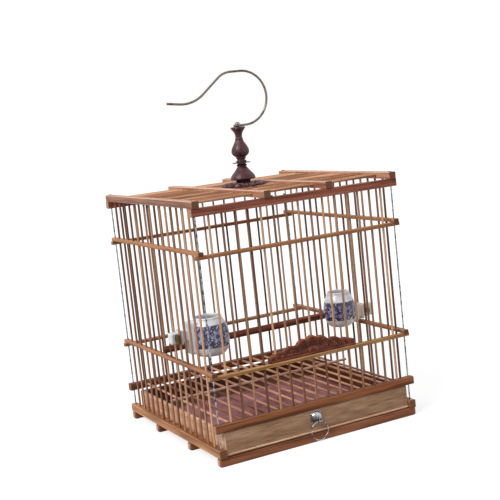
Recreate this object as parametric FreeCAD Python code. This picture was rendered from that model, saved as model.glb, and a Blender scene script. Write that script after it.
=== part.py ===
import FreeCAD, Part
import math
import os

# Square bird cage of bamboo sticks set in drilled bars, in millimetres.
# +Z is up and the drawer opens towards -Y. The origin lies on the floor,
# at the centre of the square that the four corner wires stand on.

Vector = FreeCAD.Vector
X_AXIS = Vector(1, 0, 0)
Y_AXIS = Vector(0, 1, 0)
Z_AXIS = Vector(0, 0, 1)

# Plan and levels
cage_width = 240.0
cage_depth = 240.0
stick_pitch = 15.0
drawer_gap = 18.0
lower_band_lift = 51.0
band_spacing = 126.0
top_rail_lift = 48.5

# Bars and strips
bar_width = 8.0
bar_round = 0.9
bar_overhang = 5.0
foot_rail_height = 9.0
foot_heel_round = 3.0
foot_inner_share = 0.375
base_bar_height = 9.0
drawer_rail_height = 8.5
top_rail_height = 8.5
roof_bar_height = 7.5
strip_width = 6.0
strip_height = 4.0
strip_round = 0.7

# Sticks and wires
stick_d = 2.5
roof_stick_d = 3.0
floor_stick_d = 2.6
stick_play = 0.05
stick_seat = 5.0
floor_stick_seat = 2.4
floor_stick_drop = 2.5
floor_strip_width = 3.4
floor_strip_height = 2.4
floor_strip_round = 0.6
floor_strip_notch = 0.7
floor_strip_back = 8.0
wire_d = 1.6
wire_lift = 1.0
wire_head_d = 3.4
wire_head_height = 0.8
seat_gap = 0.3

# Door that slides up on its own sticks
door_half_width = 54.0
door_plate_height = 21.0
door_plate_thickness = 5.6
door_stick_seat = 3.0
door_stick_proud = 1.5
door_play = 0.1
pierced_hole_r = 1.3
outline_match = 0.05

# Drawer
drawer_side_play = 1.0
drawer_recess = 1.5
drawer_board = 4.0
drawer_floor = 3.0
drawer_lip = 0.8
drawer_depth = 234.0
liner_thickness = 0.6
liner_back_gap = 27.5

# Ring pull
pull_offset_x = -5.0
pull_drop = 9.0
dome_r = 7.5
dome_height = 5.0
eye_drop = 3.6
eye_wire_r = 0.6
eye_mean_r = 1.7
eye_standoff = 0.3
eye_leg_r = 0.9
clench_r = 2.5
clench_height = 0.8
ring_mean_r = 10.4
ring_wire_r = 0.75

# Perch
perch_r = 4.0
perch_lift = 10.0
perch_nose = 1.2
perch_fork_depth = 9.0

# Porcelain cups
cup_lift = 3.2
cup_wall = 2.2
cup_neck_width = 11.0
cup_stop_length = 3.0
cup_stop_margin = 2.2
cup_saddle_out = 5.0
cup_saddle_width = 18.0
cup_saddle_round = 5.0
left_cup_height = 43.5
left_cup_belly_r = 22.0
left_cup_inset = 38.5
left_cup_saddle_height = 38.0
left_neck_lift = 26.5
left_neck_height = 12.5
left_neck_out = 8.0
right_cup_height = 41.0
right_cup_belly_r = 18.5
right_cup_inset = 31.0
right_cup_saddle_height = 27.0
right_neck_lift = 13.0
right_neck_height = 15.0
right_neck_out = 12.0
cup_foot_share = 0.62
cup_mouth_share = 0.72
cup_belly_height_share = 0.46
key_thickness = 3.5
key_shank_height = 5.0
key_head_height = 9.5
key_head_length = 8.0
key_tip = 4.0
key_play = 0.2

# Finial and hook
leaf_plate_r = 27.0
leaf_plate_height = 4.5
leaf_count = 12
leaf_valley_share = 0.88
bell_r = 14.5
bell_height = 22.0
collar_disc_r = 10.5
collar_disc_height = 0.8
vase_height = 40.5
vase_belly_r = 10.3
pin_r = 1.6
under_plate_r = 15.0
under_plate_height = 4.0
lower_nut_r = 4.0
lower_nut_height = 3.0
pin_tail = 2.0
nut_sleeve_r = 2.4
nut_head_r = 3.3
nut_head_height = 2.6
hook_wire_r = 1.3
hook_bend_r = 30.5
hook_shank_offset = 8.7
hook_eye_gap_deg = 75.0
hook_crown_run = 21.9
hook_slope_run = 52.0
hook_slope_deg = 38.9
hook_tip_run = 32.4
hook_tip_rise_deg = 7.1
hook_crown_turn_r = 26.0
hook_tip_turn_r = 40.0

# Levels that follow from the sizes above
half_x = cage_width / 2
half_y = cage_depth / 2
base_bar_z = foot_rail_height
base_top = base_bar_z + base_bar_height
drawer_rail_z = base_top + drawer_gap
drawer_rail_top = drawer_rail_z + drawer_rail_height
lower_level = drawer_rail_top + lower_band_lift
upper_level = lower_level + band_spacing
top_level = upper_level + top_rail_lift
top_rail_z = top_level - top_rail_height
roof_top = top_level + roof_bar_height
roof_stick_z = top_level + roof_bar_height / 2
stick_r = stick_d / 2
roof_stick_r = roof_stick_d / 2
floor_stick_r = floor_stick_d / 2
wire_r = wire_d / 2
inner_x = half_x - bar_width / 2
inner_y = half_y - bar_width / 2


def stick_places(span):
    """Places of the sticks between two corner wires, with one in the middle."""
    bays = round(span / stick_pitch / 2) * 2
    bay = span / bays
    return [bay * (index + 1) - span / 2 for index in range(bays - 1)]


front_places = stick_places(cage_width)
side_places = stick_places(cage_depth)
side_bay = side_places[1] - side_places[0]
door_places = [x for x in front_places if abs(x) < door_half_width]
fixed_places = [x for x in front_places if abs(x) > door_half_width]
roof_places = [y + side_bay / 2 for y in side_places[:-1]]
roof_bar_inner_x = (door_places[-1] + door_places[-2]) / 2
foot_inner_y = cage_depth / 2 * foot_inner_share
perch_y = side_places[len(side_places) // 2]
cup_y = perch_y - side_bay * 2 - side_bay / 2


def save(name, shape):
    """Write one piece to its own file."""
    shape.exportStep("parts/" + name + ".step")


def box(x_low, x_high, y_low, y_high, z_low, z_high):
    """Box between two corners."""
    corner = Vector(x_low, y_low, z_low)
    return Part.makeBox(x_high - x_low, y_high - y_low, z_high - z_low, corner)


def rod(start, axis, length, radius):
    """Round rod from a start point."""
    return Part.makeCylinder(radius, length, start, axis)


def drill(shape, tools):
    """Cut several separate tools from a piece at once."""
    return shape.cut(Part.makeCompound(tools))


def upright_rods(points, z_low, z_high, radius):
    """Upright rods at the given plan points."""
    return [rod(Vector(x, y, z_low), Z_AXIS, z_high - z_low, radius) for x, y in points]


def long_edges(bar):
    """The edges of a bar that run along X."""
    return [edge for edge in bar.Edges if edge.BoundBox.XLength > edge.BoundBox.DiagonalLength / 2]


def x_bar(length, width, height, rounding, y, z):
    """Bar along X with rounded long edges, its underside at z."""
    bar = box(-length / 2, length / 2, -width / 2, width / 2, 0, height)
    bar = bar.makeFillet(rounding, long_edges(bar))
    bar.translate(Vector(0, y, z))
    return bar


def y_bar(length, width, height, rounding, x, z):
    """Bar along Y with rounded long edges, its underside at z."""
    bar = x_bar(length, width, height, rounding, 0, 0)
    bar.rotate(Vector(0, 0, 0), Z_AXIS, 90)
    bar.translate(Vector(x, 0, z))
    return bar


def corner_holes(z_low, z_high):
    """Holes for the four corner wires."""
    corners = [(x, y) for x in (-half_x, half_x) for y in (-half_y, half_y)]
    return upright_rods(corners, z_low, z_high, wire_r + stick_play)


def stick_holes(points, z_low, z_high):
    """Holes for upright sticks."""
    return upright_rods(points, z_low, z_high, stick_r + stick_play)


def foot_rail(name, y):
    """Rail along X that the cage stands on, its heels rounded."""
    length = cage_width + bar_overhang * 2
    rail = x_bar(length, bar_width, foot_rail_height, bar_round, 0, 0)
    heels = [
        edge for edge in rail.Edges
        if edge.BoundBox.ZMax < bar_round / 2 and edge.BoundBox.XLength < bar_round
    ]
    rail = rail.makeFillet(foot_heel_round, heels)
    rail.translate(Vector(0, y, 0))
    if abs(y) == half_y:
        rail = drill(rail, corner_holes(wire_lift, foot_rail_height))
    save(name, rail)


def base_bar(name, x):
    """Bar along Y that holds the lower ends of a side's sticks."""
    bar = y_bar(cage_depth + bar_overhang * 2, bar_width, base_bar_height, bar_round, x, base_bar_z)
    seats = stick_holes([(x, y) for y in side_places], base_top - stick_seat, base_top)
    save(name, drill(bar, seats + corner_holes(base_bar_z, base_top)))


def floor_rods(radius, extra):
    """Rods along Y at the places of the floor sticks."""
    reach = inner_y + floor_stick_seat + extra
    z = drawer_rail_top - floor_stick_drop
    return [rod(Vector(x, -reach, z), Y_AXIS, reach * 2, radius) for x in front_places]


def drawer_rail(name, y):
    """Rail along X over the drawer, drilled for upright and floor sticks."""
    length = cage_width + bar_overhang * 2
    rail = x_bar(length, bar_width, drawer_rail_height, bar_round, y, drawer_rail_z)
    seats = stick_holes([(x, y) for x in front_places], drawer_rail_top - stick_seat, drawer_rail_top)
    wires = corner_holes(drawer_rail_z, drawer_rail_top)
    rail = drill(rail, seats + wires)
    save(name, drill(rail, floor_rods(floor_stick_r + stick_play, stick_play)))


def band_strip_x(name, y, level):
    """Flat strip along X just under a band's level."""
    length = cage_width + bar_overhang * 2
    z = level - strip_height
    strip = x_bar(length, strip_width, strip_height, strip_round, y, z)
    holes = stick_holes([(x, y) for x in front_places], z, level)
    if y < 0 and level == upper_level:
        holes = stick_holes([(x, y) for x in fixed_places], z, level) + door_guides(z, level)
    save(name, drill(strip, holes + corner_holes(z, level)))


def band_strip_y(name, x, level):
    """Flat strip along Y that lies on a band's level."""
    top = level + strip_height
    strip = y_bar(cage_depth + bar_overhang * 2, strip_width, strip_height, strip_round, x, level)
    holes = stick_holes([(x, y) for y in side_places], level, top)
    save(name, drill(strip, holes + corner_holes(level, top)))


def door_guides(z_low, z_high):
    """Running holes for the door's sticks."""
    points = [(x, -half_y) for x in door_places]
    return upright_rods(points, z_low, z_high, stick_r + door_play)


def top_rail(name, y):
    """Rail along X under the roof bars."""
    length = cage_width + bar_overhang * 2
    rail = x_bar(length, bar_width, top_rail_height, bar_round, y, top_rail_z)
    seat_top = top_rail_z + stick_seat
    if y < 0:
        holes = stick_holes([(x, y) for x in fixed_places], top_rail_z, seat_top)
        holes = holes + door_guides(top_rail_z, top_level)
    else:
        holes = stick_holes([(x, y) for x in front_places], top_rail_z, seat_top)
    save(name, drill(rail, holes + corner_holes(top_rail_z, top_level)))


def roof_rods(radius, extra):
    """Rods along X at the places of the roof sticks."""
    reach = inner_x + stick_seat + extra
    return [rod(Vector(-reach, y, roof_stick_z), X_AXIS, reach * 2, radius) for y in roof_places]


def roof_bar(name, x):
    """Bar along Y across the roof, drilled for the roof sticks."""
    bar = y_bar(cage_depth + bar_overhang * 2, bar_width, roof_bar_height, bar_round, x, top_level)
    bar = drill(bar, roof_rods(roof_stick_r + stick_play, stick_play))
    if abs(x) == half_x:
        seats = stick_holes([(x, y) for y in side_places], top_level, top_level + stick_seat)
        bar = drill(bar, seats + corner_holes(top_level, roof_top))
    save(name, bar)


def corner_wire(name, x, y):
    """Wire through every crossing of one corner, with a clenched head on the roof."""
    wire = rod(Vector(x, y, wire_lift), Z_AXIS, roof_top - wire_lift, wire_r)
    head = rod(Vector(x, y, roof_top), Z_AXIS, wire_head_height, wire_head_d / 2)
    save(name, wire.fuse(head))


def frame():
    """Feet, bars, bands, roof bars and corner wires."""
    foot_rail("foot_rail_front", -half_y)
    foot_rail("foot_rail_mid_front", -foot_inner_y)
    foot_rail("foot_rail_mid_rear", foot_inner_y)
    foot_rail("foot_rail_rear", half_y)
    for side, x in (("left", -half_x), ("right", half_x)):
        base_bar("base_bar_" + side, x)
        band_strip_y("lower_band_" + side, x, lower_level)
        band_strip_y("upper_band_" + side, x, upper_level)
        roof_bar("roof_bar_" + side, x)
        for end, y in (("front", -half_y), ("rear", half_y)):
            corner_wire("corner_wire_" + end + "_" + side, x, y)
    for end, y in (("front", -half_y), ("rear", half_y)):
        drawer_rail("drawer_rail_" + end, y)
        band_strip_x("lower_band_" + end, y, lower_level)
        band_strip_x("upper_band_" + end, y, upper_level)
        top_rail("top_rail_" + end, y)
    roof_bar("roof_bar_mid_left", -roof_bar_inner_x)
    roof_bar("roof_bar_mid_right", roof_bar_inner_x)


def upright_sticks():
    """Fixed sticks of the four faces."""
    face_low = drawer_rail_top - stick_seat
    face_high = top_rail_z + stick_seat
    left_part = [(x, -half_y) for x in fixed_places if x < 0]
    right_part = [(x, -half_y) for x in fixed_places if x > 0]
    short_part = [(x, -half_y) for x in door_places]
    rear_part = [(x, half_y) for x in front_places]
    save("front_sticks_left", Part.makeCompound(upright_rods(left_part, face_low, face_high, stick_r)))
    save("front_sticks_right", Part.makeCompound(upright_rods(right_part, face_low, face_high, stick_r)))
    save("front_sticks_short", Part.makeCompound(upright_rods(short_part, face_low, lower_level, stick_r)))
    save("rear_sticks", Part.makeCompound(upright_rods(rear_part, face_low, face_high, stick_r)))
    side_low = base_top - stick_seat
    side_high = top_level + stick_seat
    for side, x in (("left", -half_x), ("right", half_x)):
        points = [(x, y) for y in side_places]
        save(side + "_sticks", Part.makeCompound(upright_rods(points, side_low, side_high, stick_r)))


def floor_and_roof_sticks():
    """Sticks of the roof and of the floor, and the strip that ties the floor."""
    save("roof_sticks", Part.makeCompound(roof_rods(roof_stick_r, 0)))
    save("floor_sticks", Part.makeCompound(floor_rods(floor_stick_r, 0)))
    length = (half_x - stick_r - seat_gap) * 2
    z = drawer_rail_top - floor_stick_drop + floor_stick_r - floor_strip_notch
    strip = x_bar(
        length, floor_strip_width, floor_strip_height, floor_strip_round, floor_strip_back, z,
    )
    save("floor_strip", drill(strip, floor_rods(floor_stick_r + stick_play, 0)))


# Outline of the door plate's upper edge from the left end to the middle, as
# shares of the half width and of the height: start, crest and end of each lobe
door_lobe_shares = [
    ((-1.0, 0.12), (-0.97, 0.33), (-0.88, 0.38)),
    ((-0.88, 0.38), (-0.77, 0.50), (-0.66, 0.44)),
    ((-0.66, 0.50), (-0.52, 0.66), (-0.36, 0.58)),
    ((-0.36, 0.62), (-0.24, 0.88), (-0.11, 0.80)),
    ((-0.11, 0.84), (-0.06, 0.95), (0.0, 1.0)),
]
door_hole_shares = [(-0.57, 0.28), (-0.36, 0.30), (-0.16, 0.38)]


def door_point(share_x, share_z):
    """Point of the door plate's outline, on the plate's front face."""
    y = -half_y - door_plate_thickness / 2
    return Vector(door_half_width * share_x, y, lower_level + door_plate_height * share_z)


def door_outline():
    """Closed wire round the door plate."""
    left = [[door_point(*share) for share in lobe] for lobe in door_lobe_shares]
    right = [[Vector(-p.x, p.y, p.z) for p in reversed(lobe)] for lobe in reversed(left)]
    edges = []
    previous = door_point(-1, 0)
    for start, crest, end in left + right:
        if previous.distanceToPoint(start) > outline_match:
            edges.append(Part.makeLine(previous, start))
        edges.append(Part.Arc(start, crest, end).toShape())
        previous = end
    edges.append(Part.makeLine(previous, door_point(1, 0)))
    edges.append(Part.makeLine(door_point(1, 0), door_point(-1, 0)))
    return Part.Wire(edges)


def door():
    """Pierced plate and the sticks that rise with it."""
    plate = Part.Face(door_outline()).extrude(Y_AXIS * door_plate_thickness)
    low = lower_level + door_stick_seat
    points = [(x, -half_y) for x in door_places]
    sockets = upright_rods(points, low, lower_level + door_plate_height, stick_r + stick_play)
    holes = []
    for share_x, share_z in door_hole_shares:
        for side in (-1, 1):
            start = door_point(share_x * side, share_z)
            holes.append(rod(start, Y_AXIS, door_plate_thickness, pierced_hole_r))
    save("door_plate", drill(drill(plate, sockets), holes))
    high = top_level + door_stick_proud
    save("door_sticks", Part.makeCompound(upright_rods(points, low, high, stick_r)))


# Drawer box
drawer_half = inner_x - drawer_side_play
drawer_z = foot_rail_height + seat_gap
drawer_inside_z = drawer_z + drawer_floor
drawer_top = drawer_rail_z - seat_gap * 2
drawer_face_y = -half_y - bar_width / 2 + drawer_recess
drawer_back_y = drawer_face_y + drawer_depth
pull_z = drawer_rail_z - pull_drop
eye_z = pull_z - eye_drop
dome_sphere_r = (dome_r * dome_r + dome_height * dome_height) / (dome_height * 2)
dome_centre_y = drawer_face_y + dome_sphere_r - dome_height
dome_at_eye_y = dome_centre_y - math.sqrt(dome_sphere_r * dome_sphere_r - eye_drop * eye_drop)
eye_y = dome_at_eye_y - eye_standoff - eye_wire_r


def drawer():
    """Front, sides, back, floor and paper lining."""
    front_back = drawer_face_y + drawer_board
    low = drawer_inside_z
    front = box(-drawer_half, drawer_half, drawer_face_y, front_back, low, drawer_top)
    leg_start = Vector(pull_offset_x, drawer_face_y, eye_z)
    leg_hole = rod(leg_start, Y_AXIS, drawer_board, eye_leg_r + stick_play)
    save("drawer_front", front.cut(leg_hole))
    bottom = box(-drawer_half, drawer_half, drawer_face_y - drawer_lip, drawer_back_y, drawer_z, low)
    save("drawer_bottom", bottom)
    side_end = drawer_back_y - drawer_board
    inside = drawer_half - drawer_board
    save("drawer_side_left", box(-drawer_half, -inside, front_back, side_end, low, drawer_top))
    save("drawer_side_right", box(inside, drawer_half, front_back, side_end, low, drawer_top))
    save("drawer_back", box(-drawer_half, drawer_half, side_end, drawer_back_y, low, drawer_top))
    liner_x = inside - seat_gap
    liner_end = side_end - liner_back_gap
    liner = box(-liner_x, liner_x, front_back + seat_gap, liner_end, low, low + liner_thickness)
    save("drawer_liner", liner)


def ring_pull():
    """Dome, eye with its clenched leg, and ring."""
    ball = Part.makeSphere(dome_sphere_r, Vector(pull_offset_x, dome_centre_y, pull_z))
    keep = rod(Vector(pull_offset_x, drawer_face_y - dome_height, pull_z), Y_AXIS, dome_height, dome_r)
    eye_centre = Vector(pull_offset_x, eye_y, eye_z)
    leg_hole = rod(eye_centre, Y_AXIS, drawer_face_y - eye_y, eye_leg_r + stick_play)
    eye_seat = Part.makeTorus(eye_mean_r, eye_wire_r + stick_play, eye_centre, X_AXIS)
    save("pull_dome", ball.common(keep).cut(leg_hole).cut(eye_seat))
    eye = Part.makeTorus(eye_mean_r, eye_wire_r, eye_centre, X_AXIS)
    leg_start = eye_centre + Y_AXIS * eye_mean_r
    clench_start = Vector(pull_offset_x, drawer_face_y + drawer_board, eye_z)
    leg_length = clench_start.y + clench_height - leg_start.y
    leg = rod(leg_start, Y_AXIS, leg_length, eye_leg_r)
    clench = rod(clench_start, Y_AXIS, clench_height, clench_r)
    save("pull_eye", eye.fuse([leg, clench]).removeSplitter())
    ring_centre = Vector(pull_offset_x, eye_y, eye_z - ring_mean_r)
    save("pull_ring", Part.makeTorus(ring_mean_r, ring_wire_r, ring_centre, Y_AXIS))


def perch():
    """Round perch with a fork at each end that straddles a side stick."""
    reach = half_x + stick_r + perch_nose
    z = lower_level + perch_lift
    bar = rod(Vector(-reach, perch_y, z), X_AXIS, reach * 2, perch_r)
    slot = stick_r + door_play
    forks = []
    for side in (-1, 1):
        inner = side * (reach - perch_fork_depth)
        x_low, x_high = sorted((inner, side * reach))
        forks.append(box(x_low, x_high, perch_y - slot, perch_y + slot, z - perch_r, z + perch_r))
    save("perch", drill(bar, forks))


def cup_form(foot_r, belly_r, mouth_r, foot_z, belly_z, mouth_z):
    """Solid of revolution whose side swells from the foot to the belly."""
    centre = Vector(0, 0, foot_z)
    foot = Vector(foot_r, 0, foot_z)
    belly = Vector(belly_r, 0, belly_z)
    mouth = Vector(mouth_r, 0, mouth_z)
    top = Vector(0, 0, mouth_z)
    wire = Part.Wire([
        Part.makeLine(centre, foot),
        Part.Arc(foot, belly, mouth).toShape(),
        Part.makeLine(mouth, top),
        Part.makeLine(top, centre),
    ])
    return Part.Face(wire).revolve(Vector(0, 0, 0), Z_AXIS, 360)


def x_block(x_low, x_high, width, height, z):
    """Block along X, centred on the XZ plane and on the level z."""
    return box(x_low, x_high, -width / 2, width / 2, z - height / 2, z + height / 2)


def cup(size, neck, side):
    """Cup whose neck passes between two side sticks and takes a wooden key."""
    height, belly_r, inset, saddle_height = size
    neck_z, neck_height, neck_out = neck
    foot_r = belly_r * cup_foot_share
    mouth_r = belly_r * cup_mouth_share
    belly_z = height * cup_belly_height_share
    bowl = cup_form(foot_r, belly_r, mouth_r, 0, belly_z, height)
    hollow = cup_form(
        foot_r - cup_wall, belly_r - cup_wall, mouth_r - cup_wall, cup_wall, belly_z, height,
    )
    saddle_z = (neck_z + belly_z) / 2
    saddle_end = belly_r + cup_saddle_out
    saddle = x_block(0, saddle_end, cup_saddle_width, saddle_height, saddle_z)
    saddle = saddle.makeFillet(cup_saddle_round, long_edges(saddle))
    stop_end = inset - stick_r - seat_gap
    stop_width = side_bay - stick_d + cup_stop_margin * 2
    stop_height = neck_height + cup_stop_margin * 2
    stop = x_block(stop_end - cup_stop_length, stop_end, stop_width, stop_height, neck_z)
    neck_end = inset + stick_r + neck_out
    neck = x_block(0, neck_end, cup_neck_width, neck_height, neck_z)
    slot_x = inset + stick_r + seat_gap - key_play
    slot_end = slot_x + key_thickness + key_play * 2
    slot_height = key_shank_height + key_play * 2
    slot = x_block(slot_x, slot_end, cup_neck_width, slot_height, neck_z)
    body = bowl.fuse([saddle, stop, neck]).cut(hollow).cut(slot).removeSplitter()
    if side < 0:
        body.rotate(Vector(0, 0, 0), Z_AXIS, 180)
    body.translate(Vector(side * (half_x - inset), cup_y, lower_level + cup_lift))
    return body


def cup_key(neck_lift, side):
    """Wooden key through a cup's neck, its head on one side only."""
    half_neck = cup_neck_width / 2
    x_low = half_x + stick_r + seat_gap
    x_high = x_low + key_thickness
    half_shank = key_shank_height / 2
    half_head = key_head_height / 2
    head_start = half_neck + seat_gap
    shank = box(x_low, x_high, -half_neck - key_tip, head_start, -half_shank, half_shank)
    head = box(x_low, x_high, head_start, head_start + key_head_length, -half_head, half_head)
    key = shank.fuse(head).removeSplitter()
    if side < 0:
        key.rotate(Vector(0, 0, 0), Z_AXIS, 180)
    key.translate(Vector(0, cup_y, lower_level + cup_lift + neck_lift))
    return key


def cups():
    """Both cups and their keys."""
    left_size = (left_cup_height, left_cup_belly_r, left_cup_inset, left_cup_saddle_height)
    left_neck = (left_neck_lift, left_neck_height, left_neck_out)
    right_size = (right_cup_height, right_cup_belly_r, right_cup_inset, right_cup_saddle_height)
    right_neck = (right_neck_lift, right_neck_height, right_neck_out)
    save("cup_left", cup(left_size, left_neck, -1))
    save("cup_right", cup(right_size, right_neck, 1))
    save("cup_key_left", cup_key(left_neck_lift, -1))
    save("cup_key_right", cup_key(right_neck_lift, 1))


# Levels of the finial's pieces, from the roof sticks up
leaf_z = roof_stick_z + roof_stick_r + stick_play
bell_z = leaf_z + leaf_plate_height
collar_z = bell_z + bell_height
vase_z = collar_z + collar_disc_height
vase_top = vase_z + vase_height
eye_level = vase_top + seat_gap + hook_wire_r
nut_head_z = eye_level + hook_wire_r + seat_gap
under_plate_top = roof_stick_z - roof_stick_r - stick_play

# Turned outlines as shares of the piece's greatest radius and of its height
bell_shares = [
    (0.52, 0.0), (0.52, 0.14), (1.0, 0.20), (0.94, 0.31),
    (0.76, 0.48), (0.53, 0.65), (0.37, 0.82), (0.33, 1.0),
]
vase_shares = [
    (0.58, 0.0), (0.47, 0.08), (0.80, 0.20), (1.0, 0.31), (0.88, 0.44),
    (0.48, 0.58), (0.38, 0.68), (0.50, 0.82), (0.80, 0.96), (0.80, 1.0),
]


def leaf_plate():
    """Scalloped plate under the finial."""
    valley_r = leaf_plate_r * leaf_valley_share
    step = math.tau / leaf_count
    edges = []
    for index in range(leaf_count):
        angles = (step * index, step * (index + 1 / 2), step * (index + 1))
        radii = (valley_r, leaf_plate_r, valley_r)
        start, crest, end = [
            Vector(radius * math.cos(angle), radius * math.sin(angle), leaf_z)
            for radius, angle in zip(radii, angles)
        ]
        edges.append(Part.Arc(start, crest, end).toShape())
    plate = Part.Face(Part.Wire(edges)).extrude(Z_AXIS * leaf_plate_height)
    return plate


def turned(shares, radius, height, z):
    """Turned piece with a smooth outline."""
    points = [Vector(radius * share_r, 0, z + height * share_z) for share_r, share_z in shares]
    curve = Part.BSplineCurve()
    curve.interpolate(points)
    low = Vector(0, 0, z)
    high = Vector(0, 0, z + height)
    wire = Part.Wire([
        Part.makeLine(low, points[0]),
        curve.toShape(),
        Part.makeLine(points[-1], high),
        Part.makeLine(high, low),
    ])
    return Part.Face(wire).revolve(Vector(0, 0, 0), Z_AXIS, 360)


def six_sided(radius, height, z):
    """Hexagonal prism on the cage's axis."""
    sides = 6
    angles = [math.tau * index / sides for index in range(sides + 1)]
    points = [Vector(radius * math.cos(angle), radius * math.sin(angle), z) for angle in angles]
    return Part.Face(Part.makePolygon(points)).extrude(Z_AXIS * height)


def finial():
    """Turned finial on the roof, its pin, plates and nuts."""
    bottom = under_plate_top - under_plate_height
    pin_low = bottom - lower_nut_height - pin_tail
    pin_top = nut_head_z + nut_head_height / 2
    bore = rod(Vector(0, 0, pin_low), Z_AXIS, pin_top - pin_low, pin_r + stick_play)
    axis_point = Vector(0, 0, collar_z)
    save("finial_leaf_plate", leaf_plate().cut(bore))
    save("finial_bell", turned(bell_shares, bell_r, bell_height, bell_z).cut(bore))
    save("finial_collar", rod(axis_point, Z_AXIS, collar_disc_height, collar_disc_r).cut(bore))
    save("finial_vase", turned(vase_shares, vase_belly_r, vase_height, vase_z).cut(bore))
    save("finial_pin", rod(Vector(0, 0, pin_low), Z_AXIS, pin_top - pin_low, pin_r))
    under_plate = rod(Vector(0, 0, bottom), Z_AXIS, under_plate_height, under_plate_r)
    save("finial_under_plate", under_plate.cut(bore))
    save("finial_lower_nut", six_sided(lower_nut_r, lower_nut_height, bottom - lower_nut_height).cut(bore))
    sleeve = rod(Vector(0, 0, vase_top), Z_AXIS, nut_head_z - vase_top, nut_sleeve_r)
    dome_r_full = (nut_head_r * nut_head_r + nut_head_height * nut_head_height) / (nut_head_height * 2)
    ball = Part.makeSphere(dome_r_full, Vector(0, 0, nut_head_z + nut_head_height - dome_r_full))
    head = ball.common(rod(Vector(0, 0, nut_head_z), Z_AXIS, nut_head_height, nut_head_r))
    save("hook_nut", sleeve.fuse(head).removeSplitter().cut(bore))


def rounded_path(corners, radii):
    """Wire of straight runs joined by tangent arcs at the inner corners."""
    edges = []
    position = corners[0]
    for before, corner, after, radius in zip(corners, corners[1:], corners[2:], radii):
        incoming = (corner - before).normalize()
        outgoing = (after - corner).normalize()
        turn = incoming.getAngle(outgoing)
        reach = radius * math.tan(turn / 2)
        start = corner - incoming * reach
        end = corner + outgoing * reach
        inward = (outgoing - incoming).normalize()
        middle = corner + inward * (radius / math.cos(turn / 2) - radius)
        edges.append(Part.makeLine(position, start))
        edges.append(Part.Arc(start, middle, end).toShape())
        position = end
    edges.append(Part.makeLine(position, corners[-1]))
    return edges


def hook():
    """Swan-neck hook bent from one wire, with an open eye round the nut's sleeve."""
    eye_r = nut_sleeve_r + stick_play + hook_wire_r
    y = -eye_r
    crown_z = eye_level + hook_bend_r * 2
    bend_centre = Vector(hook_shank_offset, y, eye_level + hook_bend_r)
    shank_start = Vector(0, y, eye_level)
    bend_start = Vector(hook_shank_offset, y, eye_level)
    bend_side = bend_centre + X_AXIS * hook_bend_r
    bend_end = Vector(hook_shank_offset, y, crown_z)
    slope = math.radians(hook_slope_deg)
    tip_rise = math.radians(hook_tip_rise_deg)
    crown_corner = Vector(hook_shank_offset - hook_crown_run, y, crown_z)
    slope_end = crown_corner - Vector(math.cos(slope), 0, math.sin(slope)) * hook_slope_run
    tip = slope_end + Vector(-math.cos(tip_rise), 0, math.sin(tip_rise)) * hook_tip_run
    corners = [bend_end, crown_corner, slope_end, tip]
    open_angle = math.radians(hook_eye_gap_deg)
    eye_start = Vector(eye_r * math.sin(open_angle), -eye_r * math.cos(open_angle), eye_level)
    edges = [
        Part.Arc(eye_start, Vector(0, eye_r, eye_level), shank_start).toShape(),
        Part.makeLine(shank_start, bend_start),
        Part.Arc(bend_start, bend_side, bend_end).toShape(),
    ] + rounded_path(corners, [hook_crown_turn_r, hook_tip_turn_r])
    eye_tangent = Vector(math.cos(open_angle), math.sin(open_angle), 0)
    profile = Part.Wire(Part.makeCircle(hook_wire_r, eye_start, eye_tangent))
    save("hook", Part.Wire(edges).makePipeShell([profile], True, False))


os.makedirs("parts", exist_ok=True)
frame()
upright_sticks()
floor_and_roof_sticks()
door()
drawer()
ring_pull()
perch()
cups()
finial()
hook()
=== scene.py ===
import logging
import math
from dataclasses import dataclass, field
from enum import Enum
from functools import reduce
from typing import Callable, Iterable, Sequence

import bmesh
import bpy
from mathutils import Euler, Matrix, Vector


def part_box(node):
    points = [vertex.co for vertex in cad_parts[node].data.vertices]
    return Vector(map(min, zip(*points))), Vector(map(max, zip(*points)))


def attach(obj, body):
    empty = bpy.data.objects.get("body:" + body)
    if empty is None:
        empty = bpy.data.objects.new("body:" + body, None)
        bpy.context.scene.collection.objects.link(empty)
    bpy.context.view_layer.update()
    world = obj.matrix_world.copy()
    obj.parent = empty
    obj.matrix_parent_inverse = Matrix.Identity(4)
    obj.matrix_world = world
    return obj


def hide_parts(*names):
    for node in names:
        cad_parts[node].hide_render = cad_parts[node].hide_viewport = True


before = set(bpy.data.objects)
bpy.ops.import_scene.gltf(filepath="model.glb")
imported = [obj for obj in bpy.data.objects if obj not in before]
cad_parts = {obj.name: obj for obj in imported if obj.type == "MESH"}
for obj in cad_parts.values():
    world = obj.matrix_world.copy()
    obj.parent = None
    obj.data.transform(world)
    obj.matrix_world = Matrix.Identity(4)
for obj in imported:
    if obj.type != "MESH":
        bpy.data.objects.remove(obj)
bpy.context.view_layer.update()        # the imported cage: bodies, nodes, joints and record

# Looks of a square bamboo bird cage: a finish for every piece, the pieces that
# are carved, turned, glazed or eased by hand, soft light and the camera.
# Lengths are in metres, colours are red, green and blue from 0 to 255.

MM = 0.001
LOG = logging.getLogger("bird_cage")

Colour = tuple[float, float, float]
Socket = bpy.types.NodeSocket
Piece = bpy.types.Object
Profile = Sequence[tuple[float, float]]


class Axis(Enum):
    """A direction of the cage: across, from front to back, and upright."""

    X = 0
    Y = 1
    Z = 2


class Body(Enum):
    """The bodies that pieces ride on."""

    CAGE = "cage"
    DRAWER = "drawer"
    DOOR = "door"
    KEY_LEFT = "key_left"
    KEY_RIGHT = "key_right"


class Element(Enum):
    """What an edit-mode selection is made of."""

    VERTEX = "VERT"
    EDGE = "EDGE"
    FACE = "FACE"


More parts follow.
